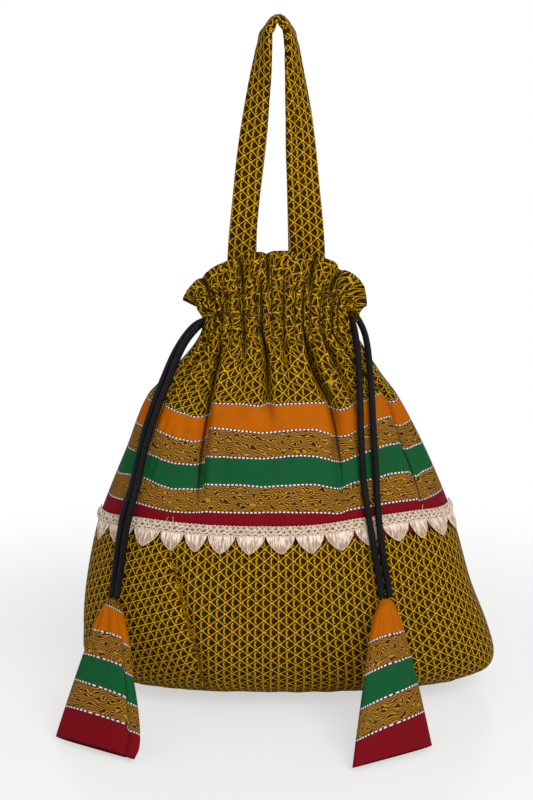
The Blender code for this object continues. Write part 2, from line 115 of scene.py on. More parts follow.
MIDDLE_HANG = (
    (0, FROM_MIDDLE,
     (1, 1, 1, 0, 0, 0, 0, 0, 0, 0, 0, -1, -1, -1, -1, -1)),
    (15, FROM_MIDDLE,
     (1.8, 1.6, 1.4, 0.4, 1, 1.4, 2.3, 2.9, 3.2, 3, 0.4, -0.4, -0.8, -1.5, -2.1, -2.4)),
    (36, FROM_MIDDLE,
     (1.1, 1, 2.3, 0.6, 0.1, 1, 3.4, 4.3, 4.7, 4.8, 1.3, -0.7, -1.3, -1.9, -3.4, -3.8)),
    (58, FROM_MIDDLE,
     (1.3, 1.4, 2.5, 1, -0.3, 0.8, 3.6, 5.2, 5.8, 6.2, 4.4, 0.4, -1.5, -3.3, -4.7, -4.8)),
    (79, FROM_MIDDLE,
     (0.3, 1.3, 2.4, 1.5, 0.4, 0.1, 3, 5.6, 6.7, 7.1, 5.8, 2.5, -0.8, -5.6, -6.8, -7)),
    (100, FROM_MIDDLE,
     (0, 0.8, 1.6, 1, 0.2, -0.8, 0.3, 6.9, 6.2, 5.2, 2.8, -0.6, -4.9, -8.6, -8.6, -8.6)),
    (130, FROM_MIDDLE,
     (0, 0.5, 1, 1, 0, 0, 2, 6, 6, 5, 3, 0, -4, -6, -6, -6)),
)

# Grooves: line of (height, x), depth by height, share of the hidden cloth by height, half width
GROOVES = {
    FRONT: (
        (((150, -62), (195, -61), (245, -55), (262, -52), (278, -48), (303, -43)),
         ((166, 0), (205, 2), (245, 7), (280, 12), (296, 6), (303, 3), (316, 1.5)),
         ((150, 0.14), (205, 0.18), (262, 0.15), (300, 0.08), (316, 0.05)), 0.009),
        (((240, -7), (283, -9.6), (303, -12), (316, -12)),
         ((228, 0), (255, 9), (286, 14), (296, 6), (303, 3), (316, 1.5)),
         ((232, 0), (262, 0.12), (290, 0.2), (316, 0.12)), 0.011),
        (((150, 52), (195, 50), (245, 43), (262, 34), (270, 30), (306, 19.5)),
         ((166, 0), (205, 1), (240, 9), (262, 16), (288, 14), (297, 6), (303, 4), (316, 2)),
         ((150, 0.08), (205, 0.12), (245, 0.18), (280, 0.18), (316, 0.1)), 0.010),
        (((150, 118), (180, 110), (215, 99), (246, 88), (270, 66), (300, 43)),
         ((166, 0), (200, 3), (246, 7), (280, 8), (303, 2)),
         ((150, 0.14), (205, 0.22), (246, 0.2), (285, 0.08), (316, 0.04)), 0.009),
        (((180, -112), (215, -102), (246, -88), (280, -61), (303, -47)),
         ((190, 0), (240, 4), (280, 7), (303, 1.5)),
         ((190, 0), (246, 0.05), (285, 0.06), (316, 0.04)), 0.012),
        (((222, -30), (262, -29), (303, -26)),
         ((220, 0), (255, 2.5), (285, 6), (303, 2)),
         ((220, 0), (260, 0.02), (290, 0.05), (316, 0.04)), 0.012),
        (((225, 9), (262, 8), (303, 5)),
         ((225, 0), (262, 2.2), (288, 6), (303, 2)),
         ((225, 0), (270, 0.02), (316, 0.04)), 0.012),
        (((225, 72), (262, 54), (303, 33)),
         ((220, 0), (255, 5), (285, 8), (303, 2)),
         ((220, 0), (260, 0.04), (290, 0.06), (316, 0.05)), 0.011),
    ),
    BACK: (
        (((170, -96), (246, -72), (303, -38)),
         ((180, 0), (240, 3), (280, 5), (303, 2)), ((180, 0), (290, 0.08), (316, 0.06)), 0.015),
        (((170, -52), (246, -36), (303, -21)),
         ((190, 0), (240, 4), (280, 7), (303, 3)), ((190, 0), (290, 0.09), (316, 0.06)), 0.014),
        (((170, -4), (246, -2), (303, -3)),
         ((215, 0), (250, 3), (285, 6), (303, 3)), ((215, 0), (290, 0.08), (316, 0.06)), 0.014),
        (((170, 44), (246, 33), (303, 16)),
         ((176, 0), (235, 4), (280, 8), (303, 3)), ((176, 0), (290, 0.09), (316, 0.06)), 0.013),
        (((170, 92), (246, 70), (303, 38)),
         ((190, 0), (240, 3), (280, 5), (303, 2)), ((190, 0), (290, 0.08), (316, 0.06)), 0.015),
    ),
}

# Soft dents: line of (height, x), lowest and highest height, depth, half width
SLANTING_DENT = ((20, -58), (60, -66), (130, -85))
DENTS = {
    FRONT: (
        (SLANTING_DENT, 6, 148, 5, 0.011), (((0, 28), (140, 28)), 10, 120, 1.6, 0.03),
        (((0, 112), (140, 112)), 20, 140, 1.8, 0.02), (((190, 8.5), (225, 8.5)), 190, 228, 2.2, 0.009),
        (((150, -9), (180, -9)), 152, 180, 1.8, 0.009), (((190, 46), (225, 44)), 190, 230, 2.6, 0.01),
        (((170, -44), (240, -40)), 175, 240, 2.2, 0.012),
    ),
    BACK: ((((0, -40), (140, -40)), 6, 140, 2.6, 0.03), (((0, 62), (140, 62)), 10, 130, 2.2, 0.028)),
}
TURNED_CLOTH = 0.3

# Pouch: rows at the bottom and behind the lace, and rings and length of cloth under the floor row
POUCH_LOW_HEIGHTS = (0, 0.7, 1.6, 3, 4.5, 6.5, 9, 12, 15, 18, 22)
POUCH_TOP_HEIGHTS = (145, 152, 158)
LACE_TUCK = 2.2
BOTTOM_SHARES = (0.02, 0.35, 0.65, 0.85, 0.95)
BOTTOM_CLOTH = 70

# Fine gathers of the neck, the lines of hidden cloth, and where the painted shade of its creases begins
# and is full
GATHERS = 17
GATHER_DEPTH = ((212, 0), (245, 0.4), (266, 1.0), (288, 2.4), (300, 3.4), (316, 3.4))
GATHER_SHARE = ((240, 0), (270, 0.08), (292, 0.3), (316, 0.6), (336, 0.5), (348, 0.1))
GATHER_SHARPNESS = 24
HIDDEN_WIDTH = 0.4
SEAM_SHARE = ((150, 0.5), (205, 0.3), (262, 0.14), (316, 0.08))
SEAM_TUCK_WIDTH = 0.03
PAINTED_FOLD_SHADE_RANGE = (1.5, 3.4)

# Frill above the neck, and where its lobes meet
FRILL_MID_HEIGHT = {FRONT: 366, BACK: 353}
FRILL_TIP_HEIGHT = (322.5, 305)
FRILL_HALF_WIDTH = (74.5, 72)
FRILL_DEPTH = {FRONT: 34, BACK: 28}
FRILL_ROUNDNESS = (1.45, 0.78)
FRILL_CURL = 0.1
FRILL_FLARE = 1.7
FRILL_RISE = 44
FRILL_SIDE_GAP = 1.5
LOBES = {
    FRONT: (0, 0.2, 0.38, 0.463, 0.628, 0.719, 1),
    BACK: (0, 0.2, 0.42, 0.58, 0.8, 1),
}
LOBE_DEPTHS = {FRONT: (5, 7, 8, 9.5, 8, 9), BACK: (4, 6, 5, 6, 4)}
LOBE_DIPS = {FRONT: (0, 1.5, 2, 3.5, 1.5, 6, 0), BACK: (0, 2, 3, 2, 2, 0)}
LOBE_SHARE = ((322, 0), (346, 0.8))

# Channel strips inside the neck
CASING_CLEARANCE = 0.8
CASING_HEIGHTS = (297, 334)
WALL = 1.6
CHANNEL_ROOM = 1.8
CHANNEL_TUCK = 6

# Drawcords
CHANNEL_HALF_WIDTH = 50.9
CHANNEL_DEPTH = {FRONT: 23.6, BACK: 21.5}
CHANNEL_STEP = 14
CHANNEL_END_ANGLE = 62
CHANNEL_HEIGHT = {"left": 304.5, "right": 312.0}
CORD_DIAMETER = 5.4
FRONT_CORDS = {
    "left": (
        (-52.5, -5.2, 304.5), (-59, -4.5, 303), (-65.5, -7, 297.5), (-73, -10.5, 288),
        (-79.5, -14.5, 275), (-85, -19, 261), (-91.8, -28.4, 245), (-99, -33.8, 225),
        (-104.8, -38.5, 204), (-109.8, -46, 181.5), (-114.4, -53.6, 164.5), (-117.8, -57.6, 150),
        (-119.8, -59.8, 137), (-121.8, -59.2, 122), (-124.3, -60.3, 107), (-126.1, -63.7, 94.7),
    ),
    "right": (
        (52.5, -5.2, 312), (57, -6.5, 309), (60, -10, 303), (61.8, -15.5, 295),
        (63.3, -24, 283), (64.2, -36, 263.5), (64.6, -45.6, 244), (65, -53.2, 224.5),
        (66, -58.7, 205), (67.6, -64.2, 185), (70.2, -71.8, 167), (73.1, -75.6, 150),
        (75.9, -78.2, 134), (78, -78.4, 122), (79.8, -79.2, 112), (81.3, -83.2, 101.4),
    ),
}
BACK_CORDS = {
    "left": (
        (-46.4, 9.4, 304.5), (-52.5, 5.0, 304.5), (-59.5, 3.5, 303.5), (-67, 2, 299),
        (-75, 0, 289.5), (-82.5, -3, 277), (-89.3, -9.5, 262), (-96.6, -24, 244.5),
        (-103.3, -29.2, 225), (-108.8, -33.9, 204), (-113.9, -41.4, 181.3),
        (-119.5, -50.2, 164.5), (-122.6, -53.4, 150), (-124.6, -55.6, 137),
        (-126.6, -55.2, 122), (-128.6, -55.9, 107), (-130.6, -59.7, 94.8),
    ),
    "right": (
        (46.4, 9.4, 312), (52.5, 5.0, 312), (58.5, 3.5, 310.5), (64.5, 1, 305), (69, -5, 296),
        (71.3, -13.5, 286), (72.4, -24, 274), (73.4, -32.8, 262), (74.2, -42.6, 243),
        (75, -50.6, 224), (76.2, -57.2, 204), (77.2, -62, 184.6), (78.2, -69.8, 167),
        (79.9, -73.9, 150), (82, -76.5, 134), (84.2, -77, 122), (85.8, -78.2, 112),
        (87.2, -82.4, 101.5),
    ),
}

# Strap: width along its length, centre line, and the turn of its width in degrees from +X
STRAP_WIDTH = ((0, 22.5), (0.45, 21), (0.55, 21), (0.75, 27), (1, 28.5))
STRAP_THICKNESS = 7
STRAP_LINE = (
    (-27.5, 306), (-27.5, 361), (-24.5, 401), (-17.5, 461), (-11.5, 508), (-8.0, 530),
    (0.5, 540.5),
    (9.0, 530), (12.5, 505), (16.5, 466), (20.5, 407), (23.0, 361), (23.0, 306),
)
STRAP_TURN = (
    (0, 0), (0.12, 1), (0.3, 16), (0.42, 55), (0.5, 90), (0.58, 120), (0.75, 155),
    (0.9, 178), (1, 180),
)
STRAP_PLANE = -8.6
STRAP_PRINT_SCALE = 1.06

# Tassels: pivot, middle of the hem, direction of the hem
TASSELS = {
    "left": ((-129.5, -63.5, 88.0), (-139.0, -146.0), (0.82, -0.57)),
    "right": ((84.5, -85.5, 95.0), (86.0, -163.0), (0.83, 0.56)),
}
CAP_RADIUS = 6.5
HEM_HALF_WIDTH = 37
HEM_HALF_DEPTH = 5.5
TASSEL_TAPER = 0.75
TASSEL_CREASE = 0.75
TASSEL_SPREAD = ((0, 0), (0.35, 3), (0.6, 7), (0.8, 8.5), (0.92, 7), (1, 2))

# Tassels' stripes: scale along, length at the hem, tilt, step at the crease, longest length shown
TASSEL_STRIPES = {"left": (0.93, -7.8, 5.0, 4.0, 120), "right": (0.89, -6, -4.0, 0.0, 98.5)}
TASSEL_BULGE = 0.8
TASSEL_COLUMNS = 144
CAP_LATITUDES = (80, 62, 44, 26, 8)
TASSEL_PRINT_RADII = (16, 26)
FLOOR_CLEARANCE = 0.4

# Lace
BRAID_HALF_WIDTH = 3.8
LACE_SHIFT = (
    (-145, -4.6), (-136, -3.6), (-110, -0.2), (-81, -0.2), (-46, -0.5), (17, 0), (42, 1.5),
    (65, 4), (108, 5), (133, 2.2), (145, 1.5),
)
LOOPS = ((-1.5, 0.0), (1.3, 2.3))
LOOP_LENGTH = 4.7
LOOP_HEIGHT = 1.6
LOOP_LEAN = 1.6
LOOSE_THREADS = ((0.252, 3.4, 1.2, 4.5), (0.268, 3.4, -0.8, 5), (0.711, 3.3, 0.4, 6), (0.846, 3.3, 1, 5))
PETAL_EDGES = (
    0.045, 0.104, 0.178, 0.243, 0.2985, 0.35, 0.412, 0.476,
    0.54, 0.603, 0.6695, 0.734, 0.801, 0.85, 0.92, 0.985,
)
PETAL_PITCH_SHARE = 0.95
PETAL_LENGTH = 14.2
PETAL_RIM_RADIUS = 0.42

# Print: lengths along where the stripes change and spacing of beads and threads; then the painted shade
# in the creases
STRIPE_EDGES = (15.2, 36.0, 58.0, 78.6, 99.9)
BEAD_PITCH = 3.2
THREAD_PITCH = (0.9, 0.7)
PAINTED_FOLD_SHADE_STRENGTH = 0.82
PAINTED_FOLD_SHADE_COLOR = (22, 16, 4)

# Lamps and camera, in metres and degrees
LAMP_TARGET = (0, 0, 0.25)
CAMERA_PLACE = (-0.0084, -1.6, 0.60)
CAMERA_TILT = 12.68
CAMERA_LENS = 92.25


def linear(red, green, blue):
    """A colour as amounts of light, from its 0 to 255 screen values."""
    return tuple(
        c / 255 / 12.92 if c < 10.4 else ((c / 255 + 0.055) / 1.055) ** 2.4
        for c in (red, green, blue)
    )


def eased(table, place):
    """The smooth value at each place between the rows of a (place, value) table."""
    places, values = np.array(table, float).T
    slopes = np.empty_like(values)
    slopes[1:-1] = (values[2:] - values[:-2]) / (places[2:] - places[:-2])
    slopes[0] = (values[1] - values[0]) / (places[1] - places[0])
    slopes[-1] = (values[-1] - values[-2]) / (places[-1] - places[-2])
    place = np.clip(np.asarray(place, float), places[0], places[-1])
    k = np.clip(np.searchsorted(places, place, side="right") - 1, 0, len(places) - 2)
    span = places[k + 1] - places[k]
    t = (place - places[k]) / span
    return (
        values[k] * (1 + 2 * t) * (1 - t) ** 2
        + values[k + 1] * t * t * (3 - 2 * t)
        + slopes[k] * span * t * (1 - t) ** 2
        - slopes[k + 1] * span * t * t * (1 - t)
    )


def smooth(low, high, value):
    """0 below low, 1 above high, and a smooth rise between."""
    t = np.clip((np.asarray(value, float) - low) / (high - low), 0, 1)
    return t * t * (3 - 2 * t)


def mix(a, b, t):
    return a + (b - a) * t


def lengths_to(line):
    """The length along a line up to each of its points."""
    return np.concatenate([[0], np.cumsum(np.linalg.norm(np.diff(line, axis=0), axis=1))])


def folds(seed, across, along, waves, length, upright=1.0):
    """Soft irregular folds about 1 high and of about one length, stretched along the cloth."""
    pick = np.random.default_rng(seed)
    total = 0
    for _ in range(waves):
        turn = pick.uniform(0, FULL_TURN)
        size = length * pick.uniform(0.7, 1.6)
        side = math.cos(turn) * FULL_TURN / size
        up = math.sin(turn) * FULL_TURN / (size * upright)
        total = total + np.sin(side * across + up * along + pick.uniform(0, FULL_TURN))
    return total / math.sqrt(waves)


def angle_at(place):
    """The angle about the bag at a place, from 0 at the left seam to 1 at the right."""
    uneven = np.sin(4 * math.pi * place) + 0.6 * np.sin(6 * math.pi * place)
    return (2 * place - 1 + UNEVENNESS * uneven) * math.pi / 2


FINE_PLACES = np.linspace(0, 1, 2401)
FINE_ANGLES = angle_at(FINE_PLACES)


def half_width(sine, height):
    return np.where(sine < 0, eased(LEFT_HALF_WIDTH, height), eased(RIGHT_HALF_WIDTH, height))


def line_place(line, height):
    """The place of a fold's line at each height."""
    x = eased(line, height)
    sine = np.clip(x / half_width(x, height), -0.97, 0.97)
    return np.interp(np.arcsin(sine), FINE_ANGLES, FINE_PLACES)


def setback(x, height):
    """How far the folds set the front cloth back."""
    total = 0
    for line, back, edge, reach, side in SETBACKS:
        strength = smooth(164, 194, height) * (1 - smooth(270, 300, height))
        strength = strength * np.exp(-np.maximum(height - line[-1][0], 0) / 20)
        beyond = (x - eased(line, height)) * side
        step = smooth(-edge, edge, beyond) * np.exp(-np.maximum(beyond, 0) / reach)
        total = total + back * strength * step
    return total


def seam_half_gap(height):
    """Half the space between front and back at the side seams."""
    opening = smooth(SLIT[0] - SLIT_FADE, SLIT[0], height)
    opening = opening * (1 - smooth(SLIT[1], SLIT[1] + SLIT_FADE, height))
    return mix(SEAM_GAP, SLIT_HALF_WIDTH, opening)


def gather_phase(place, face):
    return GATHERS * (place + 0.010 * np.sin(FULL_TURN * 2.3 * place + 1.1 * face)
                      + 0.005 * np.sin(FULL_TURN * 5.1 * place + 2))


def lobe_phase(place, face):
    return np.interp(place, LOBES[face], range(len(LOBES[face])))


def away_from_seam(place, room):
    return smooth(0, room, np.minimum(place, 1 - place))


def relief(face, place, height):
    """How far gathers, grooves and soft folds move the cloth out."""
    flat = away_from_seam(place, 0.07)
    across = place * CLOTH_WIDTH + 500 * face
    wave = 0.5 - 0.5 * np.cos(FULL_TURN * gather_phase(place, face))
    uneven = 0.8 + 0.25 * np.sin(FULL_TURN * 3.7 * place + face)
    out = eased(GATHER_DEPTH, height) * wave * uneven
    for line, depth, _, width in GROOVES[face]:
        away = (place - line_place(line, height)) / width
        out = out - eased(depth, height) / np.cosh(np.clip(away, -20, 20)) ** 2
    band = smooth(160, 185, height) * (1 - smooth(286, 300, height))
    out = out + band * folds(11 + face, across, height, 7, 34, 3.5)
    out = out + band * 0.35 * folds(23 + face, across, height, 9, 13, 2.2)
    low = smooth(12, 40, height) * (1 - smooth(120, 146, height))
    out = out + low * 0.9 * folds(31 + face, across, height, 7, 62, 1.2)
    out = out + low * 0.25 * folds(47 + face, across, height, 9, 17)
    neck = smooth(284, 296, height)
    out = out + neck * 0.8 * folds(67 + face, across, height, 9, 9, 1.2)
    for line, foot, head, depth, width in DENTS[face]:
        away = (place - line_place(line, height)) / width
        fade = min(30, (head - foot) / 2)
        dent = depth * smooth(foot, foot + fade, height) * (1 - smooth(head - fade, head, height))
        out = out - dent / np.cosh(np.clip(away, -20, 20)) ** 2
    pucker = np.exp(-((height - 9) / 7.0) ** 2)
    out = out + pucker * 0.9 * folds(59 + face, across, height, 6, 13, 2.5)
    puff = smooth(299, 303, height)
    out = out + 0.9 * puff - 0.8 * np.exp(-((height - 299.5) / 1.6) ** 2)
    return out * flat


def cloth_point(face, place, height, out=0.0, split=True, folded=True):
    """Points of the bag's cloth below the frill, moved out by a distance."""
    place, height = np.broadcast_arrays(np.asarray(place, float), np.asarray(height, float))
    angle = angle_at(place)
    sine, cosine = np.sin(angle), np.maximum(np.cos(angle), 0)
    half, depth = half_width(sine, height), eased(DEPTH[face], height)
    gap = seam_half_gap(height) if split else 0
    x = half * sine
    round_share = cosine**ROUNDNESS
    y = face * (depth * round_share + gap * (1 - round_share) ** 4)
    to_x, to_y = sine / half, face * cosine / depth
    long = np.hypot(to_x, to_y)
    if face == FRONT:
        y = y + setback(x, height) * smooth(0, 0.35, cosine)
    move = out + (relief(face, place, height) if folded else 0)
    return np.stack([x + to_x / long * move, y + to_y / long * move, height + 0 * x], axis=-1)


def frill_point(face, place, rise, folded=True):
    """Points of the frill, for rises 0 at the neck to 1 at the top edge."""
    place, rise = np.broadcast_arrays(np.asarray(place, float), np.asarray(rise, float))
    low = cloth_point(face, place, NECK_HEIGHT, folded=False)
    angle = angle_at(place)
    sine, cosine = np.sin(angle), np.maximum(np.cos(angle), 0)
    depth = FRILL_DEPTH[face]
    phase = lobe_phase(place, face)
    lobe = np.abs(np.sin(math.pi * phase)) ** 0.75
    edges = range(len(LOBES[face]))
    bulge = np.interp(np.floor(phase) + smooth(0, 1, phase % 1), edges[:-1], LOBE_DEPTHS[face])
    dip = np.interp(phase, edges, LOBE_DIPS[face])
    flat = away_from_seam(place, 0.12)
    wide, tip, curve = (
        mix(*pair, smooth(-0.5, 0.5, sine))
        for pair in (FRILL_HALF_WIDTH, FRILL_TIP_HEIGHT, FRILL_ROUNDNESS)
    )
    top_height = mix(tip, FRILL_MID_HEIGHT[face], cosine**curve)
    top_height = top_height - dip * (1 - lobe) ** 2
    top = np.stack([
        wide * (sine - FRILL_CURL * smooth(0.985, 1, sine)),
        face * (FRILL_SIDE_GAP + (depth - FRILL_SIDE_GAP) * cosine**ROUNDNESS),
        top_height,
    ], axis=-1)
    point = mix(low, top, (rise**FRILL_FLARE)[..., None])
    point[..., 2] = mix(low[..., 2], top_height, rise)
    gap = seam_half_gap(point[..., 2])
    point[..., 1] = np.where(np.abs(point[..., 1]) < gap, face * gap, point[..., 1])
    if folded:
        to_x, to_y = sine / wide, face * cosine / depth
        long = np.hypot(to_x, to_y)
        neck = relief(face, place, NECK_HEIGHT)
        fade = smooth(0.25, 0.8, rise)
        across = place * CLOTH_WIDTH
        spread = (bulge * lobe - 4) * flat * (0.25 + 0.75 * cosine)
        ripple = mix(neck, spread, fade)
        ripple = ripple - 1.4 * flat * np.exp(-((rise - 0.36) / 0.06) ** 2)
        small = smooth(0, 0.1, rise) * (1 - smooth(0.4, 0.7, rise))
        ripple = ripple + 0.8 * small * flat * folds(79 + face, across, rise * FRILL_RISE, 9, 9, 1.2)
        ripple = ripple + 0.6 * fade * flat * folds(71 + face, across, rise * 40, 8, 18, 1.5)
        point[..., 0] += to_x / long * ripple
        point[..., 1] += to_y / long * ripple
    return point


def places_of(face, height, line, shares):
    """Where columns of cloth lie along a line. Cloth that doesn't fit is hidden in folds."""
    shown = np.linalg.norm(np.diff(line, axis=0), axis=1)
    middle = (FINE_PLACES[1:] + FINE_PLACES[:-1]) / 2
    hidden = np.zeros_like(middle)
    for fold, _, share, width in GROOVES[face]:
        away = (middle - line_place(fold, min(height, NECK_HEIGHT))) / (width * HIDDEN_WIDTH)
        away = np.clip(away, -20, 20)
        peak = 1 / np.cosh(away) ** 2
        hidden += eased(share, height) * (1 - smooth(330, 345, height)) * peak / peak.sum()
    comb = np.exp(GATHER_SHARPNESS * (np.cos(FULL_TURN * gather_phase(middle, face)) - 1))
    hidden += eased(GATHER_SHARE, height) * comb / comb.sum()
    comb = np.exp(12 * (np.cos(FULL_TURN * lobe_phase(middle, face)) - 1))
    hidden += eased(LOBE_SHARE, height) * comb / comb.sum()
    comb = 1 - away_from_seam(middle, SEAM_TUCK_WIDTH)
    hidden += eased(SEAM_SHARE, height) * comb / comb.sum()
    spare = CLOTH_WIDTH - shown.sum()
    cloth = shown + max(spare, 0) * hidden / hidden.sum()
    total = np.concatenate([[0], np.cumsum(cloth)])
    return np.interp(shares, total / total[-1], FINE_PLACES)


def hang(x, height, along):
    """How far the front's stripes hang below their even lines, beside the folds."""
    left, _, right = (eased(setback[0], height) for setback in SETBACKS)
    beside = read_rows(LEFT_HANG, np.maximum(left - x, 0), along)
    middle = read_rows(MIDDLE_HANG, x, along)
    beyond = 0.5 - 0.08 * np.maximum(x - right, 0)
    amount = mix(middle, beside, smooth(0.7, -0.7, x - left))
    return mix(amount, beyond, smooth(-0.7, 0.7, x - right) * smooth(8, 24, along))


def read_rows(rows, across, along):
    """A value between rows of (length along, places across, values)."""
    values = np.array([np.interp(across, places, row) for _, places, row in rows])
    at = np.interp(along, [row[0] for row in rows], range(len(rows)))
    low = np.clip(np.floor(at).astype(int), 0, len(rows) - 2)
    first = np.take_along_axis(values, low[None], axis=0)[0]
    second = np.take_along_axis(values, low[None] + 1, axis=0)[0]
    return mix(first, second, at - low)


def cloth_lengths(rows, start):
    """The length of cloth up each column, from the row nearest a height."""
    steps = np.linalg.norm(np.diff(rows, axis=0), axis=2)
    lengths = np.concatenate([np.zeros((1, rows.shape[1])), np.cumsum(steps, axis=0)])
    zero = np.array([np.interp(start, rows[:, c, 2], lengths[:, c]) for c in range(rows.shape[1])])
    return lengths - zero


def catmull(points, step):
    """A smooth line through points, read at about one step."""
    points = np.array(points, float)
    ends = np.vstack([points[0] * 2 - points[1], points, points[-1] * 2 - points[-2]])
    fine = []
    for a, b, c, d in zip(ends, ends[1:], ends[2:], ends[3:]):
        for t in np.arange(24) / 24:
            fine.append(
                (b * 2 + (c - a) * t + (a * 2 - b * 5 + c * 4 - d) * t**2
                 + (b * 3 - a - c * 3 + d) * t**3) / 2
            )
    fine = np.array([*fine, points[-1]])
    lengths = lengths_to(fine)
    wanted = np.linspace(0, lengths[-1], max(round(lengths[-1] / step), 2) + 1)
    return np.stack([np.interp(wanted, lengths, fine[:, k]) for k in range(3)], axis=1)


def frames_along(line):
    """Two directions across a line at each of its points, turning as little as it does."""
    ahead = np.gradient(line, axis=0)
    ahead /= np.linalg.norm(ahead, axis=1, keepdims=True)
    side = np.cross(ahead[0], (0, 0, 1) if abs(ahead[0][2]) < 0.9 else (1, 0, 0))
    sides = []
    for way in ahead:
        side = side - way * side.dot(way)
        side = side / np.linalg.norm(side)
        sides.append(side)
    sides = np.array(sides)
    return sides, np.cross(ahead, sides)


class Shape:
    """Vertices, faces and cloth coordinates gathered for one mesh."""

    def __init__(self):
        self.points, self.faces, self.cloth, self.slots = [], [], [], []

    def grid(self, points, cloth, closed=False, turned=False, slot=0):
        """Adds rows of points. Closed rows need one more column of cloth coordinates."""
        start = sum(len(p) for p in self.points)
        rows, columns = points.shape[:2]
        row, column = np.mgrid[0:rows - 1, 0:columns if closed else columns - 1]
        row, column = row.ravel(), column.ravel()
        corners = [(row, column), (row, column + 1), (row + 1, column + 1), (row + 1, column)]
        if turned:
            corners = corners[::-1]
        self.points.append(points.reshape(-1, 3))
        self.faces.append(np.stack([start + r * columns + c % columns for r, c in corners], axis=1))
        self.cloth.append(np.stack([cloth[r, c] for r, c in corners], axis=1).reshape(-1, 2))
        self.slots.append(np.full(len(row), slot))

    def tube(self, line, radius, sides=8, slot=0):
        """Adds a round tube, closed at both ends."""
        line = np.asarray(line, float)
        side, over = frames_along(line)
        angles = np.arange(sides) * FULL_TURN / sides
        cosines, sines = np.cos(angles)[None, :, None], np.sin(angles)[None, :, None]
        ring = cosines * side[:, None] + sines * over[:, None]
        sizes = np.broadcast_to(np.asarray(radius, float), (len(line),))[:, None, None]
        body = line[:, None] + ring * sizes
        tips = [np.repeat(line[k][None, None], sides, axis=1) for k in (0, -1)]
        points = np.concatenate([tips[0], body, tips[1]])
        steps = np.linalg.norm(np.diff(line, axis=0), axis=1)
        along = np.concatenate([[0, 0], np.cumsum(steps), [steps.sum()]])
        around = np.arange(sides + 1) / sides
        cloth = np.stack(np.broadcast_arrays(around[None, :], along[:, None]), axis=-1)
        self.grid(points, cloth, closed=True, turned=True, slot=slot)

    def make(self, name, finishes):
        """The mesh object, in metres."""
        mesh = bpy.data.meshes.new(name)
        points = np.concatenate(self.points) * MM
        mesh.from_pydata(points.tolist(), [], np.concatenate(self.faces).tolist())
        layer = mesh.uv_layers.new(name="cloth")
        layer.data.foreach_set("uv", np.concatenate(self.cloth).ravel().astype(np.float32))
        mesh.polygons.foreach_set("material_index", np.concatenate(self.slots).astype(np.int32))
        for finish in finishes:
            mesh.materials.append(finish)
        mesh.shade_smooth()
        made = bpy.data.objects.new(name, mesh)
        bpy.context.scene.collection.objects.link(made)
        return made


def thicken(made, wall, inner_slot=0):
    """Gives an open sheet its thickness, inwards from its faces."""
    solid = made.modifiers.new("Cloth", "SOLIDIFY")
    solid.thickness = wall
    solid.offset = -1
    solid.use_even_offset = False
    solid.material_offset = inner_slot
    solid.material_offset_rim = inner_slot


class Wire:
    """A value in a material's nodes that works in ordinary arithmetic."""

    def __init__(self, finish, socket):
        self.finish, self.socket = finish, socket

    def with_math(self, operation, *terms):
        return self.finish.node("ShaderNodeMath", {"operation": operation}, dict(enumerate(terms)))

    def __add__(self, other):
        return self.with_math("ADD", self, other)

    def __sub__(self, other):
        return self.with_math("SUBTRACT", self, other)

    def __rsub__(self, other):
        return self.with_math("SUBTRACT", other, self)

    def __mul__(self, other):
        return self.with_math("MULTIPLY", self, other)

    def __truediv__(self, other):
        return self.with_math("DIVIDE", self, other)

    def __pow__(self, other):
        return self.with_math("POWER", self, other)

    def __gt__(self, other):
        return self.with_math("GREATER_THAN", self, other)

    def __abs__(self):
        return self.with_math("ABSOLUTE", self)

    __radd__ = __add__
    __rmul__ = __mul__

    def fraction(self):
        return self.with_math("FRACT", self)

    def sine(self):
        return self.with_math("SINE", self)

    def highest(self, other):
        return self.with_math("MAXIMUM", self, other)

    def lowest(self, other):
        return self.with_math("MINIMUM", self, other)

    def step(self, low, high):
        """0 at low and 1 at high, whichever is larger, with a smooth change between."""
        return self.finish.node(
            "ShaderNodeMapRange", {"interpolation_type": "SMOOTHSTEP"}, {0: self, 1: low, 2: high}
        )


class Nodes:
    """A tree of nodes and the ways to add to it."""

    def __init__(self, tree):
        self.nodes, self.links = tree.nodes, tree.links

    def node(self, kind, settings=None, values=None, output=0):
        """Adds a node: its settings first, then the values or links of its sockets."""
        made = self.nodes.new(kind)
        for name, value in (settings or {}).items():
            setattr(made, name, value)
        for place, value in (values or {}).items():
            self.set(made.inputs[place], value)
        if output is None:
            return [Wire(self, socket) for socket in made.outputs]
        return Wire(self, made.outputs[output])

    def set(self, socket, value):
        if isinstance(value, Wire):
            self.links.new(value.socket, socket)
        else:
            color = socket.type == "RGBA" and len(value) == 3
            socket.default_value = (*value, 1) if color else value


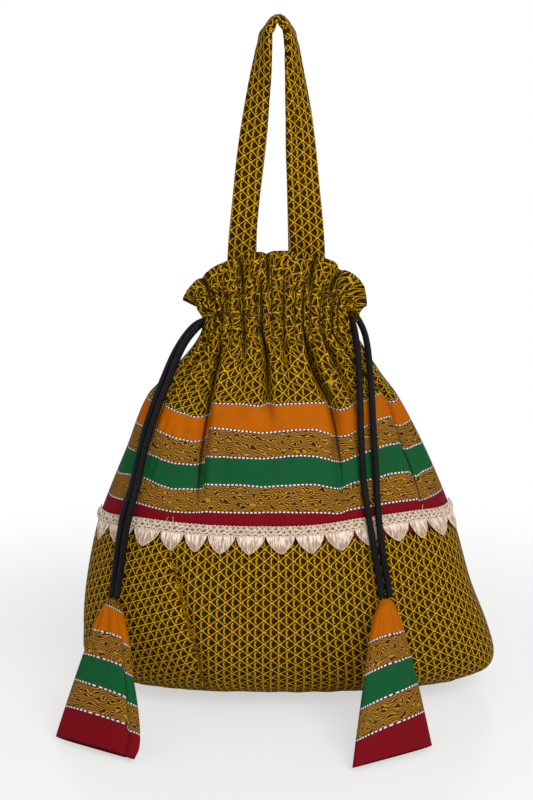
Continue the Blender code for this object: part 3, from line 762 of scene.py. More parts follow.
class Finish(Nodes):
    """A material and the ways to add to its nodes."""

    def __init__(self, name, **constants):
        self.material = bpy.data.materials.new(name)
        self.material.use_nodes = True
        super().__init__(self.material.node_tree)
        self.shader = self.nodes["Principled BSDF"]
        for socket, value in constants.items():
            self.shader.inputs[socket.replace("_", " ")].default_value = value

    def blend(self, share, first, second):
        """A mix of two colours."""
        return self.node("ShaderNodeMix", {"data_type": "RGBA"}, {0: share, 6: first, 7: second}, 2)

    def cloth(self):
        """The cloth coordinates across and along, in millimetres."""
        made = self.node("ShaderNodeUVMap", {"uv_map": "cloth"})
        across, along, _ = self.node("ShaderNodeSeparateXYZ", None, {0: made}, None)
        return across, along

    def with_painted_fold_shade(self, color):
        """A colour with painted shade: darker where the cloth is drawn into a crease."""
        # painted shade: the colour darkens toward near black in the creases
        crease = self.node("ShaderNodeAttribute", {"attribute_name": "crease"}, None, "Fac")
        return self.blend(crease * PAINTED_FOLD_SHADE_STRENGTH, color, linear(*PAINTED_FOLD_SHADE_COLOR))

    def noise(self, across, along, scale, detail=2.0, roughness=0.5):
        """Even noise, 0 to 1, in cloth coordinates."""
        place = self.node("ShaderNodeCombineXYZ", None, {0: across, 1: along})
        return self.node(
            "ShaderNodeTexNoise", {"noise_dimensions": "2D"},
            {"Vector": place, "Scale": scale, "Detail": detail, "Roughness": roughness},
        )

    def finish(self, color, roughness, height, depth):
        """Links what changes over the surface."""
        self.set(self.shader.inputs["Base Color"], color)
        self.set(self.shader.inputs["Roughness"], roughness)
        bump = self.node(
            "ShaderNodeBump", None, {"Strength": 1.0, "Distance": depth, "Height": height}
        )
        self.set(self.shader.inputs["Normal"], bump)
        return self.material


def weave(across, along):
    """The fine ribs of the threads, both ways."""
    width, height = THREAD_PITCH
    return ((across * (FULL_TURN / width)).sine() + (along * (FULL_TURN / height)).sine()) * 0.25


def brocade_pattern(made, across, along, cloth):
    """The lattice of beaded gold thread on a dark ground: colour with painted glints and painted shade
    on the thread, thread mask, and the glint noise, which also roughens the bump.
    """
    rising = across / cloth.cell_width + along / cloth.cell_height
    falling = across / cloth.cell_width - along / cloth.cell_height
    a, b = rising.fraction() - 0.5, falling.fraction() - 0.5
    bead_a = (falling * (FULL_TURN * 6)).sine()
    bead_b = (rising * (FULL_TURN * 6)).sine()
    line_a = (abs(a) - bead_a * 0.026).step(0.068, 0.034)
    line_b = (abs(b) - bead_b * 0.026).step(0.068, 0.034)
    bar = abs((a + b) * 6).step(1.6, 1.1) * abs((a - b) * 4.75).step(0.65, 0.4)
    c, d = (rising + 0.5).fraction() - 0.5, (falling + 0.5).fraction() - 0.5
    side, up = (c + d) * 6, (c - d) * 4.75
    reach = ((side - 3.6) * (side - 3.6) + up * up) ** 0.5
    arc = abs(reach - 4.6).step(0.8, 0.42) * side.step(1.4, 1.0) * abs(up).step(3.0, 2.6)
    arc = arc * ((up * 4.2).sine() * 0.25 + 0.8)
    threads = line_a.highest(line_b).highest(bar).highest(arc)
    mottle = made.noise(across, along, 0.11, 3)
    glint_noise = made.noise(across, along, 1.4, 2)
    ground = made.blend(mottle.step(0.35, 0.65), cloth.ground, cloth.ground_warm)
    fleck = glint_noise.step(0.62, 0.72) * 0.35
    ground = made.blend(fleck, ground, cloth.thread_painted_shade)
    # painted light and shade: the gold thread turns at random between its lit and its shaded colour, as
    # glints
    thread = made.blend(glint_noise.step(0.3, 0.7), cloth.thread_painted_shade, cloth.thread)
    color = made.blend(threads, ground, thread)
    return made.with_painted_fold_shade(color), threads, glint_noise


def brocade(name):
    """Brocade: the lattice alone."""
    cloth = bpy.context.scene.potli_cloth
    made = Finish(name, Specular_IOR_Level=0.04)
    across, along = made.cloth()
    color, threads, glint_noise = brocade_pattern(made, across, along, cloth)
    rough = 0.72 - threads * 0.22
    return made.finish(color, rough, threads * 0.7 + glint_noise * 0.3, 0.0004)


def striped_brocade(name):
    """Brocade above, then orange, gold, green, gold and maroon stripes with beaded edges."""
    cloth = bpy.context.scene.potli_cloth
    made = Finish(name, Specular_IOR_Level=0.04)
    across, along = made.cloth()
    color, threads, glint_noise = brocade_pattern(made, across, along, cloth)
    swirl = made.noise(across, along, 0.21, 1, 0.4)
    coil = ((across * 0.12 + along * 0.6 + swirl * 3.6) * FULL_TURN).sine().step(-0.4, 0.7)
    gold = made.blend(coil, cloth.gold_ground, cloth.gold)
    stripes = [cloth.maroon, gold, cloth.green, gold, cloth.orange, color]
    shown, near, lattice = stripes[0], None, along > STRIPE_EDGES[-1]
    for edge, stripe in zip(STRIPE_EDGES, stripes[1:]):
        shown = made.blend(along > edge, shown, stripe)
        away = abs(along - edge)
        near = away if near is None else near.lowest(away)
    bead = abs((across / BEAD_PITCH).fraction() - 0.5) * BEAD_PITCH
    dots = bead.step(1.1, 0.7) * near.step(0.72, 0.42)
    gaps = near.step(1.0, 0.8)
    shown = made.blend(gaps * 0.9, shown, cloth.bead_gap)
    shown = made.blend(dots, shown, cloth.bead)
    # painted shade: soft random dark patches standing in for shallow folds
    shade_patches = made.noise(across, along, 0.05, 3)
    shown = made.blend(shade_patches.step(0.3, 0.8) * 0.12, shown, (0.02, 0.015, 0.01))
    shown = made.blend(lattice, made.with_painted_fold_shade(shown), shown)
    height = threads * lattice * 0.7 + glint_noise * 0.2 + dots + weave(across, along) * 0.12
    height = height + coil * 0.15 * (1 - lattice)
    rough = 0.68 - threads * lattice * 0.2 - dots * 0.1
    return made.finish(shown, rough, height, 0.0004)


def plain_cloth(name):
    """The maroon cloth of the channel and inside the tassels."""
    cloth = bpy.context.scene.potli_cloth
    made = Finish(name, Specular_IOR_Level=0.1)
    across, along = made.cloth()
    mottle = made.noise(across, along, 0.15, 3)
    dark = tuple(c * 0.55 for c in cloth.maroon)
    color = made.blend(mottle.step(0.3, 0.7), dark, tuple(c * 0.8 for c in cloth.maroon))
    return made.finish(color, 0.75 - mottle * 0.1, weave(across, along), 0.0002)


def braided_cord(name):
    """Black braided cord, with painted highlights on its strands and painted shade between them."""
    cords = bpy.context.scene.potli_cords
    made = Finish(name, Specular_IOR_Level=0.12)
    around, along = made.cloth()
    left = (around * (FULL_TURN * 8) + along * (FULL_TURN / 2.6)).sine()
    right = (around * (FULL_TURN * 8) - along * (FULL_TURN / 2.6)).sine()
    strands = left.highest(right)
    hair = made.noise(around * 16, along, 1.2, 2)
    lift = strands.step(-0.2, 0.9) * 0.7 + hair * 0.3
    # painted highlight on the raised strands and painted shade between them
    color = made.blend(lift, tuple(c * 0.45 for c in cords.color), cords.color)
    return made.finish(color, 0.62 - hair * 0.15, lift, 0.0005)


def yarn(name):
    """Cream crochet yarn, with painted highlights in patches and painted shade between its twists."""
    lace = bpy.context.scene.potli_lace
    made = Finish(name, Sheen_Weight=0.1, Sheen_Roughness=0.4, Specular_IOR_Level=0.4)
    around, along = made.cloth()
    twist = (around * (FULL_TURN * 2) + along * (FULL_TURN / 1.5)).sine().step(-0.8, 0.6)
    patch = made.noise(around * 3, along, 0.35, 2)
    color = made.blend(patch.step(0.35, 0.7), lace.yarn, lace.yarn_painted_highlight)
    # painted shade in the grooves between the twists
    color = made.blend((1 - twist) * 0.55, color, lace.yarn_painted_shade)
    return made.finish(color, 0.6 - twist * 0.1, twist, 0.0002)


def painted_shade_ground(name):
    """A sheet in painted shade colours behind the crochet, seen between its loops."""
    lace = bpy.context.scene.potli_lace
    made = Finish(name, Specular_IOR_Level=0.2)
    across, along = made.cloth()
    holes = made.noise(across, along, 0.9, 2)
    color = made.blend(holes.step(0.4, 0.6), lace.yarn_painted_shade, lace.yarn)
    return made.finish(color, 0.8 - holes * 0.1, holes, 0.0005)


def satin(name):
    """Pleated satin, with painted highlights on its folds above and painted brown shade below."""
    lace = bpy.context.scene.potli_lace
    made = Finish(name, Specular_IOR_Level=0.7)
    across, along = made.cloth()
    streak = made.noise(across * 1.6, along * 0.22, 0.55, 2)
    patch = made.noise(across, along, 0.2, 2)
    # painted light and shade: lighter in streaks along the pleats, darker towards the tip
    shade = (streak * 0.9 + patch * 0.3 - along * 0.02).step(0.66, 0.34)
    color = made.blend(shade * 0.85, lace.satin, lace.satin_painted_shade)
    return made.finish(color, 0.36 + patch * 0.12, streak, 0.0006)


FINISHES = {
    "lattice_brocade": brocade,
    "banded_brocade": striped_brocade,
    "maroon_lining": plain_cloth,
    "braided_black": braided_cord,
    "crochet_yarn": yarn,
    "crochet_painted_shade": painted_shade_ground,
    "pleated_satin": satin,
}


def finish(name):
    """The material of that name, made the first time it is asked for."""
    return bpy.data.materials.get(name) or FINISHES[name](name)


def settle(made, body, slot, *nodes):
    """Puts a piece on the body it rides on and hides the solids it stands for. Its slot is not used."""
    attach(made, body)
    if nodes:
        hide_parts(*nodes)
    return made


def color_property(name, description, default):
    return FloatVectorProperty(
        name=name, description=description, subtype="COLOR", size=3, min=0, max=1, default=default
    )


def size_property(name, description, default):
    return FloatProperty(name=name, description=description, default=default, min=0, unit="LENGTH")


class PotliClothSettings(bpy.types.PropertyGroup):
    """The cloth's sizes and colours"""

    thickness: size_property("Thickness", "Thickness of the cloth", 0.0012)
    columns: IntProperty(
        name="Columns", description="Columns of faces across each side of the bag",
        default=320, min=40, max=600,
    )
    cell_width: FloatProperty(
        name="Cell width", description="Width of a lattice cell, in millimetres", default=12.1, min=1
    )
    cell_height: FloatProperty(
        name="Cell height", description="Height of a lattice cell, in millimetres", default=9.5, min=1
    )
    ground: color_property("Ground", "Dark ground of the brocade", linear(27, 22, 3))
    ground_warm: color_property("Warm ground", "Warmer parts of the ground", linear(44, 30, 4))
    # painted highlight and painted shade: lit and shaded colours of the same gold thread
    thread: color_property("Thread", "Gold thread in the light", linear(236, 186, 24))
    thread_painted_shade: color_property("Thread shade", "Gold thread in its shade", linear(188, 130, 8))
    orange: color_property("Orange", "Orange stripe", linear(186, 96, 2))
    green: color_property("Green", "Green stripe", linear(22, 88, 48))
    maroon: color_property("Maroon", "Maroon stripe", linear(124, 12, 25))
    gold: color_property("Gold", "Gold maze of the wide stripes", linear(182, 130, 40))
    gold_ground: color_property("Gold ground", "Brown under the gold maze", linear(58, 34, 16))
    bead: color_property("Bead", "White beads between the stripes", linear(245, 245, 250))
    bead_gap: color_property("Bead gap", "Purple between the beads", linear(86, 38, 58))


class PotliCordSettings(bpy.types.PropertyGroup):
    """The drawcords' size and colour"""

    diameter: size_property("Diameter", "Diameter of a drawcord", CORD_DIAMETER * MM)
    color: color_property("Colour", "Colour of the cords", linear(17, 16, 17))


class PotliLaceSettings(bpy.types.PropertyGroup):
    """The lace border's sizes and colours"""

    yarn_diameter: size_property("Yarn", "Diameter of the crochet yarn", 0.001)
    yarn: color_property("Yarn", "Cream of the yarn", linear(244, 216, 188))
    # painted highlight and painted shade: lit and shaded colours of the cream yarn
    yarn_painted_highlight: color_property("Light yarn", "Lightest yarn", linear(252, 242, 224))
    yarn_painted_shade: color_property("Yarn shade", "Yarn in its shade", linear(132, 90, 56))
    # painted highlight and painted shade: lit and shaded colours of the satin
    satin: color_property("Satin", "Light satin", linear(246, 226, 206))
    satin_painted_shade: color_property("Satin shade", "Satin in its shade", linear(150, 110, 78))


class PotliStageSettings(bpy.types.PropertyGroup):
    """The floor, lamps and camera"""

    floor_size: size_property("Floor", "Width of the floor", 6.0)
    key_power: FloatProperty(
        name="Key lamp", description="Power of the large lamp", default=33, min=0, unit="POWER"
    )
    fill_power: FloatProperty(
        name="Fill lamp", description="Power of the side lamp", default=3, min=0, unit="POWER"
    )
    room_light: FloatProperty(
        name="Room light", description="Strength of the light from all round", default=0.36, min=0
    )


def panel_grid(face):
    """The upper cloth of one side: its points and cloth coordinates, from the lace to the frill."""
    cloth = bpy.context.scene.potli_cloth
    shares = np.linspace(0, 1, cloth.columns + 1)
    heights = np.concatenate([np.linspace(PANEL_EDGE, 240, 42), np.linspace(242, NECK_HEIGHT, 44)])
    rises = np.linspace(0, 1, 34)[1:]
    nominal = np.concatenate([heights, NECK_HEIGHT + rises * FRILL_RISE])

    def surface(low, high, folded=True):
        return np.concatenate([
            cloth_point(face, low, heights[:, None], folded=folded),
            frill_point(face, high, rises[:, None], folded=folded),
        ])

    lines = surface(FINE_PLACES[None, :], FINE_PLACES[None, :])
    places = np.array([
        places_of(face, height, line, shares) for height, line in zip(nominal, lines)
    ])
    body, frill = places[:len(heights)], places[len(heights):]
    points, base = surface(body, frill), surface(body, frill, folded=False)
    along = cloth_lengths(base, LACE_HEIGHT)
    across = np.broadcast_to((shares - 0.5) * CLOTH_WIDTH, along.shape)
    if face == FRONT:
        along = along + hang(base[..., 0], base[..., 2], along)
    along = along + 0.4 * smooth(0, 30, along) * folds(83, across, along, 5, 40, 2.0)
    neck = smooth(118, 132, along)
    along = along + neck * 0.9 * folds(87, across, along, 6, 11)
    across = across + neck * folds(89, across, along, 6, 11)
    return points, np.stack([across, along], axis=-1)


def painted_fold_shade(points):
    """Painted crease shade at each point: 0 where the cloth lies open and 1 where much of it is drawn
    into a crease.
    """
    shown = np.linalg.norm(np.diff(points, axis=1), axis=2)
    drawn = CLOTH_WIDTH / shown.shape[1] / np.maximum(shown, 0.05)
    drawn = np.concatenate([drawn[:, :1], (drawn[:, 1:] + drawn[:, :-1]) / 2, drawn[:, -1:]], axis=1)
    return smooth(*PAINTED_FOLD_SHADE_RANGE, drawn)


class POTLI_OT_upper_cloth(bpy.types.Operator):
    """Makes the striped front and the brocade back, gathered into the neck and frill"""

    bl_idname = "potli.upper_cloth"
    bl_label = "Upper cloth"

    def execute(self, context):
        cloth = context.scene.potli_cloth
        for face, name, node, slot, look in (
            (FRONT, "upper_front", "front_panel", "striped_brocade", "banded_brocade"),
            (BACK, "upper_back", "back_panel", "brocade", "lattice_brocade"),
        ):
            shape = Shape()
            points, coordinates = panel_grid(face)
            shape.grid(points, coordinates, turned=face == BACK)
            made = shape.make(name, [finish(look)])
            # painted shade for the creases, kept in the point attribute named crease
            shade = made.data.attributes.new("crease", "FLOAT", "POINT")
            shade.data.foreach_set("value", painted_fold_shade(points).ravel().astype(np.float32))
            thicken(made, cloth.thickness)
            settle(made, "bag", slot, node)
        return {"FINISHED"}


def lengths_along(height, places):
    """The length of cloth across the front at one height, from its middle to each place."""
    line = cloth_point(FRONT, FINE_PLACES, height, split=False, folded=False)
    lengths = lengths_to(line)
    return np.interp(places, FINE_PLACES, lengths) - lengths[-1] / 2


def even_places(height, count):
    """Places across the front that lie evenly along the cloth at one height."""
    lengths = lengths_along(height, FINE_PLACES)
    return np.interp(np.linspace(lengths[0], lengths[-1], count), lengths, FINE_PLACES)


class POTLI_OT_lower_body(bpy.types.Operator):
    """Makes the brocade pouch below the lace, closed at the bottom"""

    bl_idname = "potli.lower_body"
    bl_label = "Lower body"

    def execute(self, context):
        cloth = context.scene.potli_cloth
        shares = even_places(BELLY_HEIGHT, 221)
        heights = np.concatenate([
            POUCH_LOW_HEIGHTS, np.linspace(26, 141, 44), POUCH_TOP_HEIGHTS
        ])
        outs = np.where(heights >= POUCH_TOP_HEIGHTS[0], -LACE_TUCK, 0.0)
        rings, cloths = [], []
        for face in (FRONT, BACK):
            points = cloth_point(
                face, shares[None, :], heights[:, None], outs[:, None], split=False,
            )
            plain = cloth_point(face, shares[None, :], heights[:, None], split=False, folded=False)
            along = cloth_lengths(plain, LACE_HEIGHT)
            side = np.abs(points[..., 0]) / eased(RIGHT_HALF_WIDTH, heights)[:, None]
            lift = CORNER_LIFT * side**4 * np.exp(-heights / CORNER_LIFT_FADE)[:, None]
            points[..., 2] += np.where(heights[:, None] > 0, lift, 0)
            across = np.broadcast_to(lengths_along(BELLY_HEIGHT, shares), along.shape)
            if face == FRONT:
                beside = eased(SLANTING_DENT, heights)[:, None] - plain[..., 0]
                turned = TURNED_CLOTH * smooth(-0.6, 0.6, beside)
                across = across - turned * (heights[:, None] - PANEL_EDGE)
                along = along - turned * beside
            rings.append(points)
            cloths.append(np.stack([across, along], axis=-1))
        back = rings[1][:, ::-1][:, 1:-1]
        back_cloth = cloths[1][:, ::-1] * (-1, 1) + (2 * cloths[0][0, -1, 0], 0)
        points = np.concatenate([rings[0], back], axis=1)
        coordinates = np.concatenate([cloths[0], back_cloth[:, 1:]], axis=1)
        shrink = np.array(BOTTOM_SHARES)[:, None, None]
        base = points[0][None] * shrink
        base[..., 2] = 0
        base_cloth = coordinates[0][None] - (1 - shrink) * (0, BOTTOM_CLOTH)
        shape = Shape()
        shape.grid(
            np.concatenate([base, points]), np.concatenate([base_cloth, coordinates]), closed=True
        )
        made = shape.make("lower_body", [finish("lattice_brocade")])
        thicken(made, cloth.thickness)
        settle(made, "bag", "brocade", "lower_pouch")
        # The girth at the belly by the length below the lace. It wasn't measured again.
        return {"FINISHED"}


class POTLI_OT_channels(bpy.types.Operator):
    """Makes the maroon strips inside the neck that hold the cords"""

    bl_idname = "potli.channels"
    bl_label = "Cord channels"

    def execute(self, context):
        low, high = CASING_HEIGHTS
        bulge = CORD_DIAMETER + CHANNEL_ROOM
        table = ((low, CHANNEL_TUCK), (low + 4, bulge), (high - 8, bulge), (high - 4, CHANNEL_TUCK))
        heights = np.linspace(low, high - 4, 16)
        places = np.linspace(1 / 7, 6 / 7, 121)
        for face, name, node in (
            (FRONT, "front_channel", "front_casing"), (BACK, "back_channel", "back_casing"),
        ):
            inward = WALL + CASING_CLEARANCE + eased(table, heights)[:, None]
            inward = inward + 0.25 * np.sin(FULL_TURN * 3 * GATHERS * places)[None, :]
            points = cloth_point(
                face, places[None, :], np.minimum(heights, NECK_HEIGHT)[:, None], -inward, folded=False
            )
            points[..., 2] = heights[:, None]
            shape = Shape()
            across = np.broadcast_to(places * CLOTH_WIDTH, points.shape[:2])
            along = np.broadcast_to(heights[:, None], points.shape[:2])
            shape.grid(points, np.stack([across, along], axis=-1), turned=face == BACK)
            made = shape.make(name, [finish("maroon_lining")])
            thicken(made, 0.001)
            settle(made, "bag", "lining", node)
        return {"FINISHED"}


def lace_places():
    """Fine places along the front with the length of cloth up to each, at the lace."""
    return lengths_to(cloth_point(FRONT, FINE_PLACES, LACE_HEIGHT))


def on_lace(lengths, length, up, out):
    """A point on the front near the lace: length along it, height above its middle, and out."""
    place = np.interp(length, lengths, FINE_PLACES)
    x = cloth_point(FRONT, place, LACE_HEIGHT)[..., 0]
    return cloth_point(FRONT, place, LACE_HEIGHT + up + eased(LACE_SHIFT, x), out)


class POTLI_OT_crochet_band(bpy.types.Operator):
    """Makes the crocheted band of looped yarn over the edge of the front cloth"""

    bl_idname = "potli.crochet_band"
    bl_label = "Crochet band"

    def execute(self, context):
        lace = context.scene.potli_lace
        radius = lace.yarn_diameter / MM / 2
        lengths = lace_places()
        end = lengths[-1]
        shape = Shape()
        columns, rows = np.linspace(0.2, end - 0.2, 360), np.linspace(-3.4, 3.4, 5)
        # a sheet in painted shade colours under the loops, standing for the shadowed holes
        under = on_lace(lengths, columns[None, :], rows[:, None], 0.8)
        under_cloth = np.stack(np.broadcast_arrays(columns[None, :], rows[:, None]), axis=-1)
        shape.grid(under, under_cloth, slot=1)
        along = np.arange(0.4, end - 0.4, 0.42)
        turn = FULL_TURN * along
        up = -3.5 + 0.15 * np.sin(turn / 2.3)
        shape.tube(on_lace(lengths, along, up, 1.5 + 0.2 * np.cos(turn / 2.3)), radius * 1.4, 6)
        up = 3.0 + 0.9 * np.abs(np.sin(turn / 6.2))
        shape.tube(on_lace(lengths, along, up, 1.4), radius, 6)
        for row, phase in LOOPS:
            ring = turn / LOOP_LENGTH + phase + 0.9 * np.sin(turn / 19 + phase)
            ring = ring + 0.5 * np.sin(turn / 7.3)
            up = row + 0.2 * np.sin(turn / 17 + phase) + LOOP_HEIGHT * np.sin(ring)
            side = along + LOOP_LEAN * np.sin(2 * ring)
            shape.tube(on_lace(lengths, side, up, 1.9 + 0.6 * np.cos(2 * ring)), radius * 1.55, 6)
        for share, up, lean, long in LOOSE_THREADS:
            rise = np.linspace(0, 1, 7)
            thread = on_lace(lengths, share * end + lean * rise**2, up + long * rise, 1.4 + rise)
            shape.tube(thread, 0.22, 5)
        made = shape.make("crochet_band", [finish("crochet_yarn"), finish("crochet_painted_shade")])
        settle(made, "bag", "lace", "lace_braid")
        return {"FINISHED"}


class POTLI_OT_petals(bpy.types.Operator):
    """Makes the row of pleated satin petals below the crochet band"""

    bl_idname = "potli.petals"
    bl_label = "Satin petals"

    def execute(self, context):
        lengths = lace_places()
        down, side = np.linspace(0, 0.99, 20), np.linspace(-1, 1, 23)
        pick = np.random.default_rng(5)
        for number, (start, end) in enumerate(zip(PETAL_EDGES, PETAL_EDGES[1:]), 1):
            middle = lengths[-1] * (start + end) / 2
            half = lengths[-1] * (end - start) * PETAL_PITCH_SHARE / 2
            wide = half * (1 - down**1.8) ** 0.85
            long = PETAL_LENGTH * pick.uniform(0.96, 1.05)
            lean = pick.uniform(-0.9, 0.9)
            across = side[None, :] * wide[:, None]
            drop = np.broadcast_to(down[:, None], across.shape)
            belly = (1 - side[None, :] ** 2) * np.sin(math.pi * (0.1 + 0.8 * drop))
            pleat = np.cos(FULL_TURN * across / 3.3 + pick.uniform(0, 6)) * (1 - drop) ** 0.6
            out = 1.2 + 1.3 * belly + 0.5 * pleat + 0.7 * drop**2
            length = middle + across + lean * drop**2
            up = -BRAID_HALF_WIDTH + 0.9 - long * drop
            shape = Shape()
            front = on_lace(lengths, length, up, out)
            shape.grid(
                front, np.stack([across + number * 37, long * drop], axis=-1), turned=True
            )
            rim = np.concatenate([front[:, 0], front[::-1, -1]])
            rim = catmull(rim[::2], 0.7)
            shape.tube(rim, PETAL_RIM_RADIUS, 6, slot=1)
            made = shape.make(
                f"petal_{number:02d}", [finish("pleated_satin"), finish("crochet_yarn")]
            )
            settle(made, "bag", "satin", f"lace_petal_{number:02d}")
        return {"FINISHED"}


class POTLI_OT_strap(bpy.types.Operator):
    """Makes the strap: a flattened tube of brocade folded into a tall loop"""

    bl_idname = "potli.strap"
    bl_label = "Strap loop"

    def execute(self, context):
        line = catmull([(x, STRAP_PLANE, z) for x, z in STRAP_LINE], 2.2)
        share = np.linspace(0, 1, len(line))
        turn = np.radians(eased(STRAP_TURN, share))
        half = eased(STRAP_WIDTH, share) / 2
        length = share * np.linalg.norm(np.diff(line, axis=0), axis=1).sum()
        ahead = np.gradient(line, axis=0)
        ahead /= np.linalg.norm(ahead, axis=1, keepdims=True)
        across = np.stack([np.cos(turn), -np.sin(turn), 0 * turn], axis=1)
        across -= ahead * (across * ahead).sum(axis=1, keepdims=True)
        across /= np.linalg.norm(across, axis=1, keepdims=True)
        over = np.cross(ahead, across)
        sides = 44
        angle = np.arange(sides + 1) * FULL_TURN / sides
        flat = np.sign(np.cos(angle)) * np.abs(np.cos(angle)) ** 0.42
        deep = np.sign(np.sin(angle)) * np.abs(np.sin(angle)) ** 0.7
        wobble = 0.5 * folds(91, 0, length, 5, 60)
        u = (half + wobble)[:, None] * flat[None, :]
        around = angle[None, :] * 10
        thick = STRAP_THICKNESS / 2 + 0.28 * folds(97, around, length[:, None], 8, 19, 1.6)
        crumple = np.exp(-((share - 0.5) / 0.05) ** 2)[:, None]
        thick = thick + crumple * 0.7 * folds(103, around, length[:, None], 6, 11)
        inner = half[:, None] - 6.4 - 2 * (1 - share)[:, None]
        right = smooth(0.56, 0.68, share)[:, None]
        crease = right * np.exp(-((u - inner) / 1.1) ** 2) * 1.5
        v = deep[None, :] * (thick - crease)
        points = line[:, None] + across[:, None] * u[..., None] + over[:, None] * v[..., None]
        edge = np.stack([u, v], axis=-1)
        steps = np.linalg.norm(np.diff(edge, axis=1), axis=2)
        girth = np.concatenate([np.zeros((len(line), 1)), np.cumsum(steps, axis=1)], axis=1)
        coordinates = np.stack([girth, np.broadcast_to(length[:, None], girth.shape)], axis=-1)
        coordinates = coordinates * STRAP_PRINT_SCALE
        shape = Shape()
        shape.grid(points[:, :-1], coordinates, closed=True)
        made = shape.make("strap_loop", [finish("lattice_brocade")])
        settle(made, "bag", "brocade", "strap_handle")
        return {"FINISHED"}


def cord_route(side):
    """The line of one cord: up from its tassel, round the channel and back down."""
    sign = -1 if side == "left" else 1
    loop = []
    angle = CHANNEL_END_ANGLE
    while angle > CHANNEL_END_ANGLE - 360 + 2 * (90 - CHANNEL_END_ANGLE):
        turn = math.radians(angle)
        depth = -CHANNEL_DEPTH[FRONT] if math.cos(turn) > 0 else CHANNEL_DEPTH[BACK]
        x = sign * CHANNEL_HALF_WIDTH * math.sin(turn)
        loop.append((x, depth * abs(math.cos(turn)) ** ROUNDNESS, CHANNEL_HEIGHT[side]))
        angle -= CHANNEL_STEP
    return catmull([*FRONT_CORDS[side][::-1], *loop, *BACK_CORDS[side]], 1.6)


class POTLI_OT_drawcords(bpy.types.Operator):
    """Makes the two black drawcords, from each tassel round the channel and back"""

    bl_idname = "potli.drawcords"
    bl_label = "Drawcords"

    def execute(self, context):
        cords = context.scene.potli_cords
        for side in ("left", "right"):
            line = cord_route(side)
            shape = Shape()
            shape.tube(line, cords.diameter / MM / 2 - 0.1, 14)
            made = shape.make(f"{side}_cord", [finish("braided_black")])
            settle(made, "bag", "cord", f"{side}_drawcord")
        return {"FINISHED"}


def tassel_frame(pivot, hem_middle, across):
    """The pivot, the middle of the hem, and the directions down, across and through a tassel."""
    top = np.array(pivot)
    wide = np.array([*across, 0.0])
    wide /= np.linalg.norm(wide)
    hem = np.array([*hem_middle, HEM_HALF_DEPTH], float)
    for _ in range(6):
        down = hem - top
        down /= np.linalg.norm(down)
        through = np.cross(down, wide)
        through /= np.linalg.norm(through)
        hem[2] = abs(through[2]) * HEM_HALF_DEPTH + FLOOR_CLEARANCE
    return top, hem, down, wide, through


class POTLI_OT_tassels(bpy.types.Operator):
    """Makes the two cloth tassels: flattened striped cones, open at the hem"""

    bl_idname = "potli.tassels"
    bl_label = "Tassels"

    def execute(self, context):
        for number, side in enumerate(TASSELS):
            top, hem, down, wide, through = tassel_frame(*TASSELS[side])
            square = wide - down * wide.dot(down)
            square /= np.linalg.norm(square)
            scale, hem_length, tilt, shift, longest = TASSEL_STRIPES[side]
            angles = np.arange(TASSEL_COLUMNS + 1) * FULL_TURN / TASSEL_COLUMNS
            length = np.linalg.norm(hem - top)
            rows, coordinates = [], []
            for latitude in CAP_LATITUDES:
                high = math.sin(math.radians(latitude)) * CAP_RADIUS
                out = math.cos(math.radians(latitude)) * CAP_RADIUS
                out = out * (1 + 0.02 * np.sin(9 * angles + number))[:, None]
                spread = square * np.cos(angles)[:, None] + through * np.sin(angles)[:, None]
                rows.append(top - down * high + spread * out)
                along = length * scale + hem_length + math.radians(latitude) * CAP_RADIUS
                along = np.minimum(along + tilt * np.cos(angles), longest)
                coordinates.append(np.stack([angles * TASSEL_PRINT_RADII[0], along], axis=-1))
            for t in np.linspace(0, 1, 64)[1:]:
                middle = mix(top, hem, t)
                across = mix(square, wide, min(t * 2, 1))
                cosine, sine = np.cos(angles), np.sin(angles)
                flat = np.sign(cosine) * np.abs(cosine) ** TASSEL_BULGE
                deep = np.sign(sine) * np.abs(sine) ** TASSEL_BULGE
                gather = (1 - t) ** 1.5 * smooth(0, 0.15, t)
                dent = gather * 0.9 * np.sin(11 * angles + 2 * number + 3 * t)
                dent = dent + 0.7 * t * folds(113 + number, angles * 14, t * length, 6, 34, 2.5)
                crease = np.exp(-((cosine - TASSEL_CREASE) / 0.05) ** 2) * smooth(0.15, 0.3, t)
                dent = dent - shift * 0.6 * crease
                half_width_here = mix(CAP_RADIUS, HEM_HALF_WIDTH, t**TASSEL_TAPER)
                spread = eased(TASSEL_SPREAD, t) * smooth(0.2, 1, cosine)
                half_width_here = half_width_here + (spread if side == "left" else 0)
                half_depth_here = mix(CAP_RADIUS, HEM_HALF_DEPTH, t) + dent
                rows.append(
                    middle + across * (half_width_here * flat)[:, None]
                    + through * (half_depth_here * deep)[:, None]
                )
                girth = mix(*TASSEL_PRINT_RADII, t)
                along = (1 - t) * length * scale + hem_length
                along = along + tilt * (1 - t if side == "left" else 1) * cosine
                beside = smooth(TASSEL_CREASE - 0.02, TASSEL_CREASE + 0.02, cosine)
                along = np.minimum(along + shift * beside * smooth(0.1, 0.3, t), longest)
                coordinates.append(np.stack([(angles - math.pi / 2) * girth, along], axis=-1))
            points = np.array(rows)
            points[..., 2] = np.maximum(points[..., 2], FLOOR_CLEARANCE)
            shape = Shape()
            shape.grid(points[:, :-1], np.array(coordinates), closed=True)
            made = shape.make(
                f"{side}_tassel_cloth", [finish("banded_brocade"), finish("maroon_lining")]
            )
            thicken(made, context.scene.potli_cloth.thickness, 1)
            settle(made, f"{side}_tassel", "striped_brocade", f"{side}_tassel")
        return {"FINISHED"}


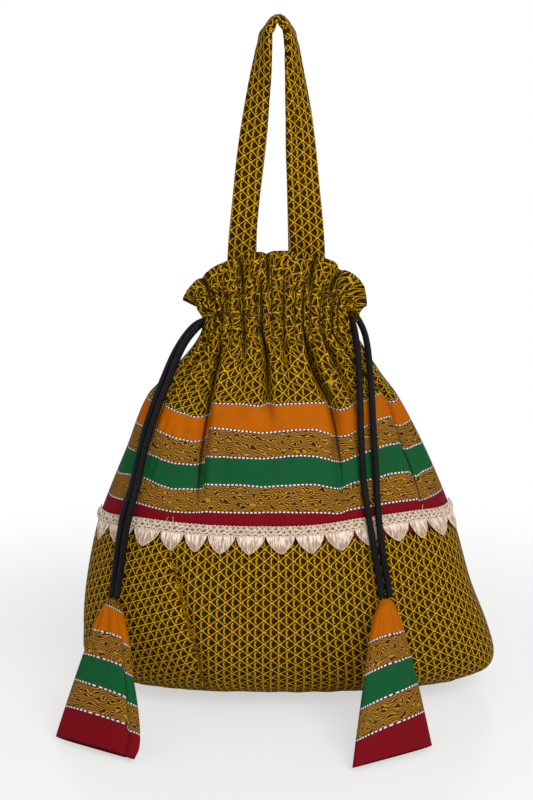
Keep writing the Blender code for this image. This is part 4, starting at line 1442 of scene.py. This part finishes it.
class POTLI_OT_stage(bpy.types.Operator):
    """Makes the pale floor, the soft studio light and the camera"""

    bl_idname = "potli.stage"
    bl_label = "Stage"

    def execute(self, context):
        stage = context.scene.potli_stage
        mesh = bpy.data.meshes.new("floor")
        reach = stage.floor_size / 2
        mesh.from_pydata(
            [(-reach, -reach, 0), (reach, -reach, 0), (reach, reach, 0), (-reach, reach, 0)],
            [], [(0, 1, 2, 3)],
        )
        floor = bpy.data.objects.new("floor", mesh)
        context.scene.collection.objects.link(floor)
        pale = Finish("pale_floor", Roughness=0.28, Specular_IOR_Level=0.5)
        pale.set(pale.shader.inputs["Base Color"], (0.97, 0.97, 0.97))
        seen = pale.node("ShaderNodeLightPath")
        place = pale.node("ShaderNodeTexCoord", None, None, "Object")
        away = pale.node("ShaderNodeVectorMath", {"operation": "LENGTH"}, {0: place}, "Value")
        white = away.step(0.22, 0.62) * 0.42 + 0.58
        glow = pale.node("ShaderNodeEmission", None, {"Color": (1.0, 1.0, 1.0)})
        body = Wire(pale, pale.shader.outputs[0])
        shown = pale.node("ShaderNodeMixShader", None, {0: seen * white, 1: body, 2: glow})
        pale.set(pale.nodes["Material Output"].inputs["Surface"], shown)
        mesh.materials.append(pale.material)
        world = bpy.data.worlds.new("studio")
        world.use_nodes = True
        sky = Nodes(world.node_tree)
        direct, mirrored, through = (
            sky.node("ShaderNodeLightPath", output=ray)
            for ray in ("Is Camera Ray", "Is Glossy Ray", "Is Transmission Ray")
        )
        white = direct.highest(mirrored).highest(through)
        background = sky.nodes["Background"]
        sky.set(background.inputs["Strength"], white * (1 - stage.room_light) + stage.room_light)
        sky.set(background.inputs["Color"], (1.0, 1.0, 1.0))
        context.scene.world = world
        for name, power, size, place in (
            ("key_lamp", stage.key_power, 1.3, (0.7, -1.7, 1.5)),
            ("fill_lamp", stage.fill_power, 1.2, (-1.5, -1.1, 0.9)),
        ):
            data = bpy.data.lights.new(name, "AREA")
            data.energy = power
            data.size = size
            lamp = bpy.data.objects.new(name, data)
            lamp.location = place
            toward = Vector(LAMP_TARGET) - Vector(place)
            lamp.rotation_euler = toward.to_track_quat("-Z", "Y").to_euler()
            context.scene.collection.objects.link(lamp)
        data = bpy.data.cameras.new("camera")
        data.sensor_fit = "VERTICAL"
        data.sensor_height = 36
        data.lens = CAMERA_LENS
        camera = bpy.data.objects.new("camera", data)
        camera.location = CAMERA_PLACE
        camera.rotation_euler = (math.radians(90 - CAMERA_TILT), 0, 0)
        context.scene.collection.objects.link(camera)
        context.scene.camera = camera
        context.scene.view_settings.view_transform = "Standard"
        return {"FINISHED"}


class POTLI_PT_panel(bpy.types.Panel):
    """Lists the settings and the pieces of the bag"""

    bl_idname = "POTLI_PT_panel"
    bl_label = "Potli bag"
    bl_space_type = "VIEW_3D"
    bl_region_type = "UI"
    bl_category = "Potli bag"

    def draw(self, context):
        for operator in OPERATORS:
            self.layout.operator(operator.bl_idname)
        for group in GROUPS:
            box = self.layout.box()
            settings = getattr(context.scene, group)
            for name in settings.bl_rna.properties.keys():
                if name not in ("rna_type", "name"):
                    box.prop(settings, name)


OPERATORS = (
    POTLI_OT_stage,
    POTLI_OT_drawcords,
    POTLI_OT_lower_body,
    POTLI_OT_upper_cloth,
    POTLI_OT_channels,
    POTLI_OT_crochet_band,
    POTLI_OT_petals,
    POTLI_OT_strap,
    POTLI_OT_tassels,
)
GROUPS = {
    "potli_cloth": PotliClothSettings,
    "potli_cords": PotliCordSettings,
    "potli_lace": PotliLaceSettings,
    "potli_stage": PotliStageSettings,
}


def register():
    for group, settings in GROUPS.items():
        bpy.utils.register_class(settings)
        setattr(bpy.types.Scene, group, PointerProperty(type=settings))
    for operator in OPERATORS:
        bpy.utils.register_class(operator)
    bpy.utils.register_class(POTLI_PT_panel)


def unregister():
    bpy.utils.unregister_class(POTLI_PT_panel)
    for operator in reversed(OPERATORS):
        bpy.utils.unregister_class(operator)
    for group, settings in reversed(GROUPS.items()):
        delattr(bpy.types.Scene, group)
        bpy.utils.unregister_class(settings)


def main():
    register()
    for operator in OPERATORS:
        space, name = operator.bl_idname.split(".")
        getattr(getattr(bpy.ops, space), name)()


if __name__ == "__main__":
    main()
